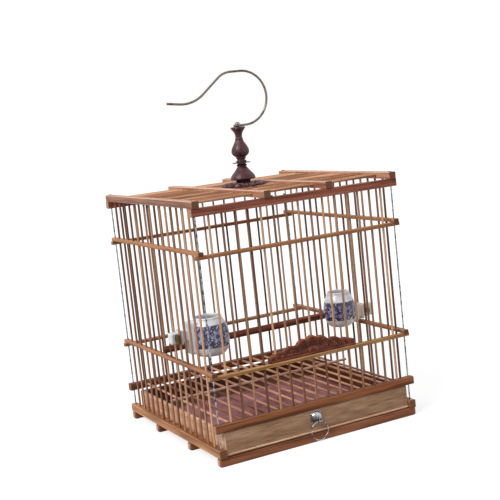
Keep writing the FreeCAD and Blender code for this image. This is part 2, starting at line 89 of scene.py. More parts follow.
def linear(colour: Colour) -> tuple[float, float, float, float]:
    """Turn a written colour into the shader's own numbers.

    Args:
        colour: Red, green and blue from 0 to 255.

    Returns:
        The same colour in linear light, with full alpha.
    """
    shares = [part / 255 for part in colour]
    light = [s / 12.92 if s <= 0.04045 else ((s + 0.055) / 1.055) ** 2.4 for s in shares]
    return (light[0], light[1], light[2], 1.0)


class Field:
    """A number that varies over a surface, worked out by a material's nodes."""

    def __init__(self, graph: "Graph", socket: Socket) -> None:
        """Keep the socket that gives the number, and its graph."""
        self.graph = graph
        self.socket = socket

    def __add__(self, other: "Field | float") -> "Field":
        """Return the sum."""
        return self.graph.math("ADD", self, other)

    def __sub__(self, other: "Field | float") -> "Field":
        """Return the difference."""
        return self.graph.math("SUBTRACT", self, other)

    def __mul__(self, other: "Field | float") -> "Field":
        """Return the product."""
        return self.graph.math("MULTIPLY", self, other)

    def __truediv__(self, other: "Field | float") -> "Field":
        """Return the quotient."""
        return self.graph.math("DIVIDE", self, other)

    def run(self, operation: str, *others: "Field | float") -> "Field":
        """Return the result of another of the Math node's operations."""
        return self.graph.math(operation, self, *others)

    def size(self) -> "Field":
        """Return the absolute value."""
        return self.graph.math("ABSOLUTE", self)

    def rises(self, low: float, high: float) -> "Field":
        """Return 0 below low, 1 above high and a smooth step between.

        Args:
            low: Value where the step starts.
            high: Value where it ends. If it is under low, the step falls.

        Returns:
            The step, from 0 to 1.
        """
        node = self.graph.node("ShaderNodeMapRange")
        node.interpolation_type = "SMOOTHSTEP"
        self.graph.put(node.inputs[0], self)
        start, end = (1.0, 0.0) if low > high else (0.0, 1.0)
        limits = (min(low, high), max(low, high), start, end)
        for socket, value in zip(node.inputs[1:5], limits):
            socket.default_value = value
        return Field(self.graph, node.outputs[0])


class Graph:
    """One material and the nodes that give its colour, gloss and relief."""

    def __init__(self, name: str, centre: Vector = Vector(), **shader: float) -> None:
        """Start a material.

        Args:
            name: The material's name.
            centre: Point that its stretched coordinates are measured from.
            **shader: Values for the shader's own sockets, with _ for a space.
        """
        self.material = bpy.data.materials.new(name)
        self.material.use_nodes = True
        self.tree = self.material.node_tree
        self.tree.nodes.clear()
        output = self.node("ShaderNodeOutputMaterial")
        self.shader = self.node("ShaderNodeBsdfPrincipled")
        self.tree.links.new(self.shader.outputs[0], output.inputs[0])
        self.coordinate = self.node("ShaderNodeTexCoord")
        self.centre = centre
        for socket, value in shader.items():
            self.shader.inputs[socket.replace("_", " ")].default_value = value

    def node(self, kind: str) -> bpy.types.Node:
        """Add a node of a kind and return it."""
        return self.tree.nodes.new(kind)

    def put(self, socket: Socket, value: "Field | Socket | float | Sequence[float]") -> None:
        """Feed a socket.

        Args:
            socket: The input.
            value: A field or socket to link, or a constant to write.
        """
        value = value.socket if isinstance(value, Field) else value
        if isinstance(value, Socket):
            self.tree.links.new(value, socket)
        else:
            socket.default_value = value

    def math(self, operation: str, *values: "Field | float") -> Field:
        """Work out a number.

        Args:
            operation: The Math node's operation.
            *values: Its inputs.

        Returns:
            The result.
        """
        node = self.node("ShaderNodeMath")
        node.operation = operation
        for socket, value in zip(node.inputs, values):
            self.put(socket, value)
        return Field(self, node.outputs[0])

    def highest(self, *values: Field) -> Field:
        """Return the greatest of some numbers."""
        return reduce(lambda best, value: best.run("MAXIMUM", value), values)

    def mapped(self, stretch: Sequence[float] | float) -> Socket:
        """Give the object's coordinates about the centre, stretched.

        Args:
            stretch: Factor along each axis, or one factor for all three.

        Returns:
            The vector.
        """
        factors = [stretch] * 3 if isinstance(stretch, (int, float)) else stretch
        vector = self.coordinate.outputs["Object"]
        for operation, value in (("SUBTRACT", self.centre), ("MULTIPLY", factors)):
            node = self.node("ShaderNodeVectorMath")
            node.operation = operation
            self.put(node.inputs[0], vector)
            node.inputs[1].default_value = value
            vector = node.outputs[0]
        return vector

    def parts(self, vector: Socket) -> list[Field]:
        """Split a vector.

        Args:
            vector: The vector.

        Returns:
            Its three numbers.
        """
        node = self.node("ShaderNodeSeparateXYZ")
        self.put(node.inputs[0], vector)
        return [Field(self, socket) for socket in node.outputs]

    def joined(self, *values: "Field | float") -> Socket:
        """Make a vector.

        Args:
            *values: Its three numbers.

        Returns:
            The vector.
        """
        node = self.node("ShaderNodeCombineXYZ")
        for socket, value in zip(node.inputs, values):
            self.put(socket, value)
        return node.outputs[0]

    def noise(self, stretch: Sequence[float] | float, detail: float = 2.0,
              warp: float = 0.0) -> Field:
        """Give soft noise with one cell to each unit of the stretched coordinates.

        Args:
            stretch: Factor along each axis, or one factor for all three.
            detail: Number of finer layers.
            warp: How far it is distorted.

        Returns:
            The noise, mostly between 0.3 and 0.7.
        """
        node = self.node("ShaderNodeTexNoise")
        self.put(node.inputs["Vector"], self.mapped(stretch))
        node.inputs["Scale"].default_value = 1.0
        node.inputs["Detail"].default_value = detail
        node.inputs["Distortion"].default_value = warp
        return Field(self, node.outputs[0])

    def cells(self, vector: Socket, feature: str = "F1") -> Field:
        """Scatter points, one to a unit.

        Args:
            vector: Where to look.
            feature: What is measured, F1 for the way to the nearest point.

        Returns:
            The distance.
        """
        node = self.node("ShaderNodeTexVoronoi")
        node.feature = feature
        self.put(node.inputs["Vector"], vector)
        node.inputs["Scale"].default_value = 1.0
        return Field(self, node.outputs[0])

    def place(self) -> list[Field]:
        """Give a point's three coordinates on the object."""
        return self.parts(self.coordinate.outputs["Object"])

    def normal(self) -> list[Field]:
        """Give the three parts of the surface's normal."""
        return self.parts(self.coordinate.outputs["Normal"])

    def facing(self) -> list[Field]:
        """Give how squarely the surface faces each axis, from 0 to 1."""
        return [part.size() for part in self.normal()]

    def ramp(self, value: Field, stops: Iterable[tuple[float, Colour]]) -> Socket:
        """Turn a number into a colour.

        Args:
            value: The number.
            stops: Values and the colours there.

        Returns:
            The colour.
        """
        node = self.node("ShaderNodeValToRGB")
        self.put(node.inputs[0], value)
        elements = node.color_ramp.elements
        stops = list(stops)
        for index, (place, colour) in enumerate(stops):
            element = elements[index] if index < 2 else elements.new(place)
            element.position = place
            element.color = linear(colour)
        return node.outputs[0]

    def blend(self, amount: Field, first: "Socket | Colour", second: "Socket | Colour") -> Socket:
        """Mix two colours.

        Args:
            amount: 0 for the first, 1 for the second.
            first: A colour.
            second: A colour.

        Returns:
            The mixed colour.
        """
        node = self.node("ShaderNodeMix")
        node.data_type = "RGBA"
        self.put(node.inputs[0], amount)
        for socket, value in ((node.inputs[6], first), (node.inputs[7], second)):
            self.put(socket, linear(value) if isinstance(value, tuple) else value)
        return node.outputs[2]

    def relief(self, height: Field, depth: float) -> None:
        """Raise the surface by a field.

        Args:
            height: The field, from 0 to 1.
            depth: What a step of 1 is worth.
        """
        node = self.node("ShaderNodeBump")
        node.inputs["Distance"].default_value = depth
        self.put(node.inputs["Height"], height)
        self.put(self.shader.inputs["Normal"], node.outputs[0])

    def colour(self, value: Socket) -> None:
        """Give the surface its colour."""
        self.put(self.shader.inputs["Base Color"], value)

    def rough(self, value: Field) -> None:
        """Give the surface its roughness."""
        self.put(self.shader.inputs["Roughness"], value)


@dataclass(frozen=True)
class Bamboo:
    """Split bamboo or wood: fibres along one axis, pored ends, rubbed edges lightened by wear and,
    where a bright edge colour is given, by painted highlight.
    """

    name: str
    pale: Colour
    body: Colour
    deep: Colour
    grain: Axis
    end: Colour = (120, 84, 52)
    fibre: float = 0.45 * MM
    streak: float = 38 * MM
    drift: float = 11 * MM
    piece_length: float = 1.1
    pore: float = 0.55 * MM
    fibre_contrast: float = 0.7
    patch_contrast: float = 0.6
    piece_contrast: float = 0.6
    stops: Sequence[float] = (0.3, 0.5, 0.7)
    joint_every: float = 0.0
    joint_half: float = 0.55 * MM
    joint_scatter: float = 9.0
    joint_shade: float = 0.62
    rubbed: float = 0.0
    wear_and_highlight: Colour | None = None
    edge_facing: Sequence[float] = (0.97, 0.80)
    end_facing: Sequence[float] = (0.80, 0.93)
    pore_edge: Sequence[float] = (0.12, 0.42)
    end_stops: Sequence[float] = (0.2, 0.75)
    roughness: float = 0.46
    gloss: float = 0.08
    gloss_roughness: float = 0.3
    shine: float = 0.12
    depth: float = 0.05 * MM

    def _stretch(self, across: float, along: float) -> list[float]:
        """Work out the factors for long cells along the grain.

        Args:
            across: The cells' width.
            along: Their length.

        Returns:
            The factor along each axis.
        """
        stretch = [1 / across] * 3
        stretch[self.grain.value] = 1 / along
        return stretch

    def _joints(self, graph: Graph, tone: Field) -> Field:
        """Find the thin rings where the cane had its joints.

        Args:
            graph: The material's graph.
            tone: The number that differs from piece to piece.

        Returns:
            1 on the rings and 0 between.
        """
        along = graph.place()[self.grain.value]
        turns = (along / self.joint_every + tone * self.joint_scatter).run("FRACT")
        away = (turns - 0.5).size() * self.joint_every
        return away.rises(self.joint_half * 1.6, self.joint_half * 0.5)

    def _with_painted_shade(self, graph: Graph, colour: Socket) -> Socket:
        """Return the colour with the painted shade that a finish adds, which plain bamboo lacks."""
        return colour

    def material(self) -> bpy.types.Material:
        """Build the finish.

        Returns:
            Its material.
        """
        graph = Graph(
            self.name, Coat_Weight=self.gloss, Coat_Roughness=self.gloss_roughness,
            Specular_IOR_Level=self.shine,
        )
        fibres = graph.noise(self._stretch(self.fibre, self.streak), 3.0)
        broad = graph.noise(self._stretch(self.drift * 0.35, self.streak * 2))
        tone = graph.noise(self._stretch(self.drift, self.piece_length), 0.0)
        value = (fibres - 0.5) * self.fibre_contrast + (broad - 0.5) * self.patch_contrast
        value = value + (tone - 0.5) * self.piece_contrast + 0.5
        colour = graph.ramp(value, zip(self.stops, (self.deep, self.body, self.pale)))
        faces = graph.facing()
        # Rubbed edges: lighter by wear, and where a bright edge colour is given, also by painted
        # highlight.
        if self.rubbed:
            edge = graph.highest(*faces).rises(*self.edge_facing)
            wear_and_highlight = self.wear_and_highlight or self.pale
            colour = graph.blend(edge * self.rubbed * (broad * 0.8 + 0.6), colour, wear_and_highlight)
        height = fibres
        if self.joint_every:
            ring = self._joints(graph, tone)
            colour = graph.blend(ring * self.joint_shade, colour, self.deep)
            height = fibres + ring * 0.8
        pores = graph.cells(graph.mapped(1 / self.pore)).rises(*self.pore_edge)
        ends = graph.ramp(pores * 0.7 + broad * 0.5, zip(self.end_stops, (self.deep, self.end)))
        colour = graph.blend(faces[self.grain.value].rises(*self.end_facing), colour, ends)
        graph.colour(self._with_painted_shade(graph, colour))
        graph.rough(fibres * 0.25 + (self.roughness - 0.12))
        graph.relief(height, self.depth)
        return graph.material


@dataclass(frozen=True)
class InsideShadedBoard(Bamboo):
    """A board with painted shade on the side that looks into the drawer."""

    across: Axis = Axis.X
    inside: float = 0.0
    fade: float = 0.5 * MM
    inside_shade: Colour = (66, 32, 18)
    strength: float = 0.9

    def _with_painted_shade(self, graph: Graph, colour: Socket) -> Socket:
        """Return the colour, darkened by painted shade where the board is nearer the middle than
        inside.
        """
        near = graph.place()[self.across.value].size().rises(self.inside + self.fade, self.inside)
        return graph.blend(near * self.strength, colour, self.inside_shade)


@dataclass(frozen=True)
class CarvedBoard(Bamboo):
    """A board with painted shade on its sunk carved ground and the walls round it, darker than the
    faces that stand up from it and the edges that face up or down.
    """

    middle: float = 0.0
    half: float = 2.8 * MM
    sunk: float = 0.8 * MM
    ground: Colour = (58, 26, 16)
    strength: float = 0.5

    def _with_painted_shade(self, graph: Graph, colour: Socket) -> Socket:
        """Darken the hollows with painted shade.

        Args:
            graph: The material's graph.
            colour: The wood's colour.

        Returns:
            The tinted colour.
        """
        # Painted shade: the sunk ground and the walls round it are darkened, but not the raised
        # faces or the edges that face up or down.
        away = (graph.place()[Axis.Y.value] - self.middle).size()
        raised = away.rises(self.half - self.sunk, self.half - self.sunk * 0.2)
        top = graph.facing()[Axis.Z.value].rises(0.25, 0.8)
        dark = graph.highest(raised, top) * -self.strength + self.strength
        return graph.blend(dark, colour, self.ground)


@dataclass(frozen=True)
class TurnedWood:
    """Dark lacquered wood off the lathe, lighter where it has been rubbed."""

    name: str
    body: Colour
    dark: Colour
    rubbed: Colour
    centre: Vector
    ring: float = 0.35 * MM
    fibres: Sequence[float] = (900, 900, 45)
    clouds: Sequence[float] = (160, 160, 130)
    cloud_warp: float = 0.6
    stops: Sequence[float] = (0.34, 0.52, 0.66)
    roughness: float = 0.38
    gloss: float = 0.12
    gloss_roughness: float = 0.22
    shine: float = 0.3
    depth: float = 0.05 * MM

    def material(self) -> bpy.types.Material:
        """Build the finish.

        Returns:
            Its material.
        """
        graph = Graph(
            self.name, self.centre, Coat_Weight=self.gloss,
            Coat_Roughness=self.gloss_roughness, Specular_IOR_Level=self.shine,
        )
        upright = graph.noise(self.fibres, 3.0)
        clouds = graph.noise(self.clouds, warp=self.cloud_warp)
        tool = (graph.place()[Axis.Z.value] / self.ring).run("SINE") * 0.5 + 0.5
        value = upright * 0.5 + clouds * 0.5
        graph.colour(graph.ramp(value, zip(self.stops, (self.dark, self.body, self.rubbed))))
        graph.rough(clouds * 0.3 + (self.roughness - 0.12))
        graph.relief(tool * 0.25 + upright * 0.75, self.depth)
        return graph.material


@dataclass(frozen=True)
class Metal:
    """Metal with fine scratches and patches of tarnish, and if asked, painted shade and a painted
    dark reflection on faces that turn down and to the left.
    """

    name: str
    bright: Colour
    dull: Colour
    roughness: float
    patch: float = 2.5 * MM
    tarnish: float = 0.5
    patch_warp: float = 0.5
    patch_edge: Sequence[float] = (0.66, 0.86)
    painted_shade_below: float = 0.0
    scratches: Sequence[float] = (4000, 4000, 260)
    scratch_depth: float = 0.008 * MM

    def material(self) -> bpy.types.Material:
        """Build the finish.

        Returns:
            Its material.
        """
        graph = Graph(self.name, Metallic=1.0)
        patches = graph.noise(1 / self.patch, 4.0, self.patch_warp)
        scratches = graph.noise(self.scratches)
        amount = patches.rises(*(edge - self.tarnish * 0.3 for edge in self.patch_edge))
        # Painted shade and painted dark reflection: faces that turn down and to the left take the
        # dull colour.
        if self.painted_shade_below:
            across, _, up = graph.normal()
            turned = (up + across * 0.4 + (patches - 0.5) * 1.4).rises(0.45, -0.35)
            amount = graph.highest(amount, turned * self.painted_shade_below)
        graph.colour(graph.blend(amount, self.bright, self.dull))
        graph.rough(patches * 0.22 + scratches * 0.12 + (self.roughness - 0.15))
        graph.relief(scratches, self.scratch_depth)
        return graph.material


@dataclass(frozen=True)
class Paper:
    """Coloured lining paper with fibres, creases and a few marks."""

    name: str
    body: Colour
    pale: Colour
    marked: Colour
    fibres: float = 2600
    clouds: Sequence[float] = (38, 30, 30)
    cloud_warp: float = 0.8
    creases: Sequence[float] = (42, 33, 42)
    crease_edge: Sequence[float] = (0.05, 0.0)
    crease_pale: float = 0.25
    stops: Sequence[float] = (0.35, 0.5, 0.66)
    roughness: float = 0.85
    shine: float = 0.25
    depth: float = 0.06 * MM

    def material(self) -> bpy.types.Material:
        """Build the finish.

        Returns:
            Its material.
        """
        graph = Graph(self.name, Roughness=self.roughness, Specular_IOR_Level=self.shine)
        fibres = graph.noise(self.fibres, 4.0)
        clouds = graph.noise(self.clouds, 3.0, self.cloud_warp)
        cells = graph.cells(graph.mapped(self.creases), "DISTANCE_TO_EDGE")
        creases = cells.rises(*self.crease_edge)
        stops = zip(self.stops, (self.marked, self.body, self.pale))
        colour = graph.ramp(clouds * 0.72 + fibres * 0.28, stops)
        graph.colour(graph.blend(creases * self.crease_pale, colour, self.pale))
        graph.relief(fibres * 0.3 + creases * 0.7, self.depth)
        return graph.material


@dataclass(frozen=True)
class Porcelain:
    """White glaze with a blue flowered band round the belly and a creamy neck."""

    name: str
    centre: Vector
    belly_r: float
    band_low: float
    band_high: float
    cream: Colour
    flowers: int = 6
    big_rose: tuple[float, int] = (0.36, 6)
    low_rose: tuple[float, float, int] = (0.22, 0.17, 5)
    high_rose: tuple[float, float, int] = (-0.24, 0.15, 5)
    leaf_kinds: Profile = ((6.6 * MM, 0.7), (5.8 * MM, -0.9))
    leaf_width_share: float = 0.46
    leaf_edge: Sequence[float] = (0.58, 0.48)
    petal_edge: Sequence[float] = (0.10 * MM, -0.10 * MM)
    line_edge: Sequence[float] = (1.15 * MM, 0.60 * MM)
    eye_shares: Sequence[float] = (0.34, 0.20)
    wobble: float = 1.2 * MM
    band_edge: Sequence[float] = (0.52, 0.47)
    wall_edge: Sequence[float] = (1.6 * MM, 0.4 * MM)
    cream_edge: Sequence[float] = (0.5 * MM, 6 * MM)
    brush_edge: Sequence[float] = (0.40, 0.62)
    mist_edge: Sequence[float] = (0.40, 0.52)
    pool_edge: Sequence[float] = (0.3, 0.7)
    pool_depth: float = 0.08 * MM
    glaze: float = 0.5
    glaze_roughness: float = 0.14
    roughness: float = 0.22
    clearness: float = 0.12
    clear_depth: float = 1.5 * MM
    white: Colour = (236, 237, 240)
    shade: Colour = (214, 214, 220)
    cobalt: Colour = (20, 18, 64)
    wash: Colour = (74, 76, 150)
    berry: Colour = (150, 60, 90)

    def _rose(self, graph: Graph, across: Field, up: Field, radius: float,
              petals: int) -> list[Field]:
        """Draw one open flower.

        Args:
            graph: The material's graph.
            across: Distance from its middle round the cup.
            up: Distance from its middle upwards.
            radius: Length of a petal.
            petals: Number of petals.

        Returns:
            Its filled petals, its outline and its eye, each from 0 to 1.
        """
        reach = (across * across + up * up).run("SQRT")
        angle = graph.math("ARCTAN2", up, across)
        gap = reach - ((angle * petals).run("COSINE") * 0.20 + 0.80) * radius
        petal = gap.rises(*self.petal_edge)
        outline = gap.size().rises(*self.line_edge)
        eye = reach.rises(*(radius * share for share in self.eye_shares))
        return [petal, outline, eye]

    def _leaves(self, graph: Graph, around: Field, up: Field, size: float, turn: float) -> Field:
        """Scatter slanting leaves.

        Args:
            graph: The material's graph.
            around: Distance round the cup.
            up: Distance upwards.
            size: Length of a leaf.
            turn: Slant of a leaf.

        Returns:
            1 where they lie and 0 beside.
        """
        slant = graph.joined(
            (around * math.cos(turn) + up * math.sin(turn)) / size,
            (up * math.cos(turn) - around * math.sin(turn)) / (size * self.leaf_width_share),
            turn,
        )
        return graph.cells(slant).rises(*self.leaf_edge)

    def material(self) -> bpy.types.Material:
        """Build the finish.

        Returns:
            Its material.
        """
        graph = Graph(
            self.name, self.centre, Coat_Weight=self.glaze, Coat_Roughness=self.glaze_roughness,
            Roughness=self.roughness, Subsurface_Weight=self.clearness,
            Subsurface_Scale=self.clear_depth,
        )
        x, y, z = graph.parts(graph.mapped(1))
        around = graph.math("ARCTAN2", y, x) * self.belly_r
        pitch = math.tau * self.belly_r / self.flowers
        height = self.band_high - self.band_low
        up = z - (self.band_low + self.band_high) / 2
        brushed_up = up + (graph.noise(420) - 0.5) * self.wobble
        across = ((around / pitch).run("FRACT") - 0.5) * pitch
        beside = ((around / pitch + 0.5).run("FRACT") - 0.5) * pitch
        size, petals = self.big_rose
        roses = [self._rose(graph, across, brushed_up, height * size, petals)]
        for shift, size, petals in (self.low_rose, self.high_rose):
            level = brushed_up + height * shift
            roses.append(self._rose(graph, beside, level, height * size, petals))
        fill = graph.highest(*(rose[0] for rose in roses))
        lines = graph.highest(*(rose[1] for rose in roses))
        leaves = [self._leaves(graph, around, up, *kind) for kind in self.leaf_kinds]
        band = up.size().rises(*(height * share for share in self.band_edge))
        radius = (x * x + y * y).run("SQRT")
        wall = radius.rises(*(self.belly_r + gap for gap in self.wall_edge))
        normal_x, normal_y, _ = graph.normal()
        outside = (normal_x * x + normal_y * y).rises(0.0, self.belly_r * 0.2)
        drawn = band * wall * outside
        brush = graph.noise(900, 3.0)
        mist = graph.noise(230).rises(*self.mist_edge)
        washed = graph.highest(fill * (brush.rises(*self.brush_edge) * 0.75 + 0.25), mist * 0.8)
        inked = graph.highest(lines, roses[0][2], graph.highest(*leaves) * (fill * -1.0 + 1.0))
        berries = graph.highest(roses[1][2], roses[2][2]) * drawn
        pools = graph.noise(70, 1.0)
        glaze = graph.blend(pools.rises(*self.pool_edge), self.shade, self.white)
        creamy = radius.rises(*(self.belly_r + gap for gap in self.cream_edge))
        glaze = graph.blend(creamy, glaze, self.cream)
        colour = graph.blend(washed * drawn * 0.92, glaze, self.wash)
        ink = inked * drawn * (brush * 0.4 + 0.78).run("MINIMUM", 1.0)
        colour = graph.blend(ink, colour, self.cobalt)
        graph.colour(graph.blend(berries * 0.5, colour, self.berry))
        graph.relief(pools, self.pool_depth)
        return graph.material


def every(item: object) -> bool:
    """Choose every element."""
    return True


class Bench:
    """Modelling steps as they are done by hand, on one object at a time."""

    @staticmethod
    def clear() -> None:
        """Leave nothing selected."""
        for piece in list(bpy.context.selected_objects):
            piece.select_set(False)
        bpy.context.view_layer.objects.active = None

    @staticmethod
    def take(piece: Piece) -> None:
        """Select one piece alone and make it active.

        Args:
            piece: The object.
        """
        Bench.clear()
        piece.select_set(True)
        bpy.context.view_layer.objects.active = piece

    @staticmethod
    def added(name: str) -> Piece:
        """Name the primitive that was just added, and settle its place in its mesh.

        Args:
            name: Its name.

        Returns:
            The object.
        """
        piece = bpy.context.active_object
        piece.name = name
        piece.data.name = name
        bpy.ops.object.transform_apply(location=True, rotation=True, scale=True)
        return piece

    @staticmethod
    def stretch(piece: Piece, shares: Sequence[float], centre: Vector) -> None:
        """Stretch a whole piece about a point.

        Args:
            piece: The object.
            shares: Factor along each axis.
            centre: The point that stays.
        """
        Bench.select(piece, Element.VERTEX, every)
        bpy.ops.transform.resize(value=shares, center_override=centre)
        bpy.ops.object.mode_set(mode="OBJECT")

    @staticmethod
    def select(piece: Piece, element: Element, test: Callable[[object], bool]) -> None:
        """Go to edit mode with only the chosen elements selected.

        Args:
            piece: The object.
            element: Vertices, edges or faces.
            test: Tells which of them to select.
        """
        Bench.take(piece)
        bpy.ops.object.mode_set(mode="EDIT")
        bpy.ops.mesh.select_mode(type=element.value)
        bpy.ops.mesh.select_all(action="DESELECT")
        mesh = bmesh.from_edit_mesh(piece.data)
        sets = {Element.VERTEX: mesh.verts, Element.EDGE: mesh.edges, Element.FACE: mesh.faces}
        for item in sets[element]:
            if test(item):
                item.select_set(True)
        mesh.select_flush_mode()
        bmesh.update_edit_mesh(piece.data)

    @staticmethod
    def done() -> None:
        """Turn every face outwards and leave edit mode."""
        bpy.ops.mesh.select_all(action="SELECT")
        bpy.ops.mesh.normals_make_consistent(inside=False)
        bpy.ops.object.mode_set(mode="OBJECT")

    @staticmethod
    def modify(piece: Piece, kind: str, **settings: object) -> None:
        """Add a modifier to a piece and apply it.

        Args:
            piece: The object.
            kind: The modifier's type.
            **settings: Its settings.
        """
        Bench.take(piece)
        modifier = piece.modifiers.new(kind.lower(), kind)
        for name, value in settings.items():
            setattr(modifier, name, value)
        bpy.ops.object.modifier_apply(modifier=modifier.name)

    @staticmethod
    def cut(piece: Piece, tool: Piece) -> None:
        """Cut a tool out of a piece and throw the tool away."""
        Bench.modify(piece, "BOOLEAN", object=tool, operation="DIFFERENCE", solver="EXACT")
        bpy.data.objects.remove(tool)

    @staticmethod
    def join(name: str, pieces: Sequence[Piece]) -> Piece:
        """Join pieces into one mesh.

        Args:
            name: The whole's name.
            pieces: The pieces.

        Returns:
            The whole.
        """
        Bench.take(pieces[0])
        for piece in pieces:
            piece.select_set(True)
        if len(pieces) > 1:
            bpy.ops.object.join()
        pieces[0].name = name
        return pieces[0]

    @staticmethod
    def ease(piece: Piece, width: float, segments: int = 2, angle: float = 35.0) -> None:
        """Round the sharp edges of a piece.

        Args:
            piece: The object.
            width: Width of the rounding.
            segments: Number of facets in it.
            angle: Edges that turn by more than this many degrees are rounded.
        """
        Bench.modify(
            piece, "BEVEL", width=width, segments=segments,
            limit_method="ANGLE", angle_limit=math.radians(angle),
        )

    @staticmethod
    def copy_of(node: str, name: str) -> Piece:
        """Copy a solid of the frame as one closed mesh with large faces.

        Args:
            node: The solid's name.
            name: The copy's name.

        Returns:
            The copy.
        """
        piece = bpy.data.objects.new(name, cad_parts[node].data.copy())
        bpy.context.scene.collection.objects.link(piece)
        Bench.select(piece, Element.VERTEX, every)
        bpy.ops.mesh.remove_doubles(threshold=0.002 * MM)
        bpy.ops.mesh.dissolve_limited(angle_limit=math.radians(1.0))
        Bench.done()
        bpy.ops.mesh.customdata_custom_splitnormals_clear()
        return piece

    @staticmethod
    def repeat(count: int) -> None:
        """Copy what is selected in edit mode round the upright axis, to a full circle of count."""
        for _ in range(count - 1):
            bpy.ops.mesh.duplicate()
            bpy.ops.transform.rotate(
                value=math.tau / count, orient_axis="Z", center_override=(0, 0, 0),
            )

    @staticmethod
    def finish(
        piece: Piece, body: Body, slot: str, material: bpy.types.Material,
        nodes: Sequence[str] = (), angle: float = 32.0,
    ) -> Piece:
        """Dress a finished piece and hang it on its body.

        Args:
            piece: The object.
            body: The body that it rides on.
            slot: The record's material slot; not used.
            material: Its finish.
            nodes: The frame's solids that it stands for.
            angle: Edges sharper than this many degrees stay sharp.

        Returns:
            The piece.
        """
        Bench.take(piece)
        bpy.ops.object.shade_smooth_by_angle(angle=math.radians(angle))
        piece.data.materials.clear()
        piece.data.materials.append(material)
        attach(piece, body.value)
        if nodes:
            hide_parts(*nodes)
        LOG.info("%s: %d faces on %s", piece.name, len(piece.data.polygons), body.value)
        return piece


def flowing(points: Profile, steps: int) -> list[tuple[float, float]]:
    """Lay a smooth line through points.

    Args:
        points: Radius and height of each point.
        steps: Number of short runs between two points.

    Returns:
        The points of the line.
    """
    line = []
    for index in range(len(points) - 1):
        before = points[max(index - 1, 0)]
        start, end = points[index], points[index + 1]
        after = points[min(index + 2, len(points) - 1)]
        for step in range(steps):
            t = step / steps
            line.append(tuple(
                0.5 * (2 * s + (e - b) * t + (2 * b - 5 * s + 4 * e - a) * t * t
                       + (3 * s - b - 3 * e + a) * t ** 3)
                for b, s, e, a in zip(before, start, end, after)
            ))
    line.append(points[-1])
    return line


@dataclass(frozen=True)
class Turning:
    """A round piece: a disc drawn up ring by ring along its profile."""

    rings: Profile
    segments: int = 56

    def make(self, name: str, foot: Vector, tilt: Euler = Euler()) -> Piece:
        """Draw the piece up from a flat disc.

        Args:
            name: Its name.
            foot: Point on its axis that heights are measured from.
            tilt: Turn of the finished piece about its foot.

        Returns:
            The piece.
        """
        Bench.clear()
        radius, height = self.rings[0]
        bpy.ops.mesh.primitive_circle_add(
            vertices=self.segments, radius=radius, fill_type="NGON", location=(0, 0, height),
        )
        piece = Bench.added(name)
        bpy.ops.object.mode_set(mode="EDIT")
        bpy.ops.mesh.select_all(action="SELECT")
        for next_radius, next_height in self.rings[1:]:
            rise = (0, 0, next_height - height)
            bpy.ops.mesh.extrude_region_move(TRANSFORM_OT_translate={"value": rise})
            share = next_radius / radius
            bpy.ops.transform.resize(value=(share, share, 1), center_override=(0, 0, next_height))
            radius, height = next_radius, next_height
        Bench.done()
        piece.matrix_world = Matrix.Translation(foot) @ tilt.to_matrix().to_4x4()
        Bench.take(piece)
        bpy.ops.object.transform_apply(location=True, rotation=True, scale=True)
        return piece


def block(name: str, low: Vector, high: Vector) -> Piece:
    """Saw a sharp-edged block.

    Args:
        name: Its name.
        low: Its lowest corner.
        high: Its highest corner.

    Returns:
        The block.
    """
    Bench.clear()
    bpy.ops.mesh.primitive_cube_add(size=1, location=(low + high) / 2, scale=high - low)
    return Bench.added(name)


def board(name: str, low: Vector, high: Vector, ease: float) -> Piece:
    """Plane a board and ease its edges.

    Args:
        name: Its name.
        low: Its lowest corner.
        high: Its highest corner.
        ease: Width of the rounding along its edges.

    Returns:
        The board.
    """
    piece = block(name, low, high)
    Bench.ease(piece, ease, segments=3)
    return piece


def spun(name: str, shares: Profile, radius: float, height: float, foot: Vector,
         segments: int = 64) -> Piece:
    """Turn a round form from a profile in shares.

    Args:
        name: Its name.
        shares: Radius and height of its profile, as shares of the form's.
        radius: The form's radius.
        height: The form's height.
        foot: Point on its axis that heights are measured from.
        segments: Number of facets round it.

    Returns:
        The form.
    """
    rings = flowing([(r * radius, z * height) for r, z in shares], 3)
    return Turning(rings, segments).make(name, foot)


def dress(solids: str, material: bpy.types.Material) -> None:
    """Give a material to some of the frame's solids, which keep their shape.

    Args:
        solids: Their names, with spaces between.
        material: The material.
    """
    for name in solids.split():
        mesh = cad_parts[name].data
        mesh.materials.clear()
        mesh.materials.append(material)
        LOG.info("%s: %s", name, material.name)


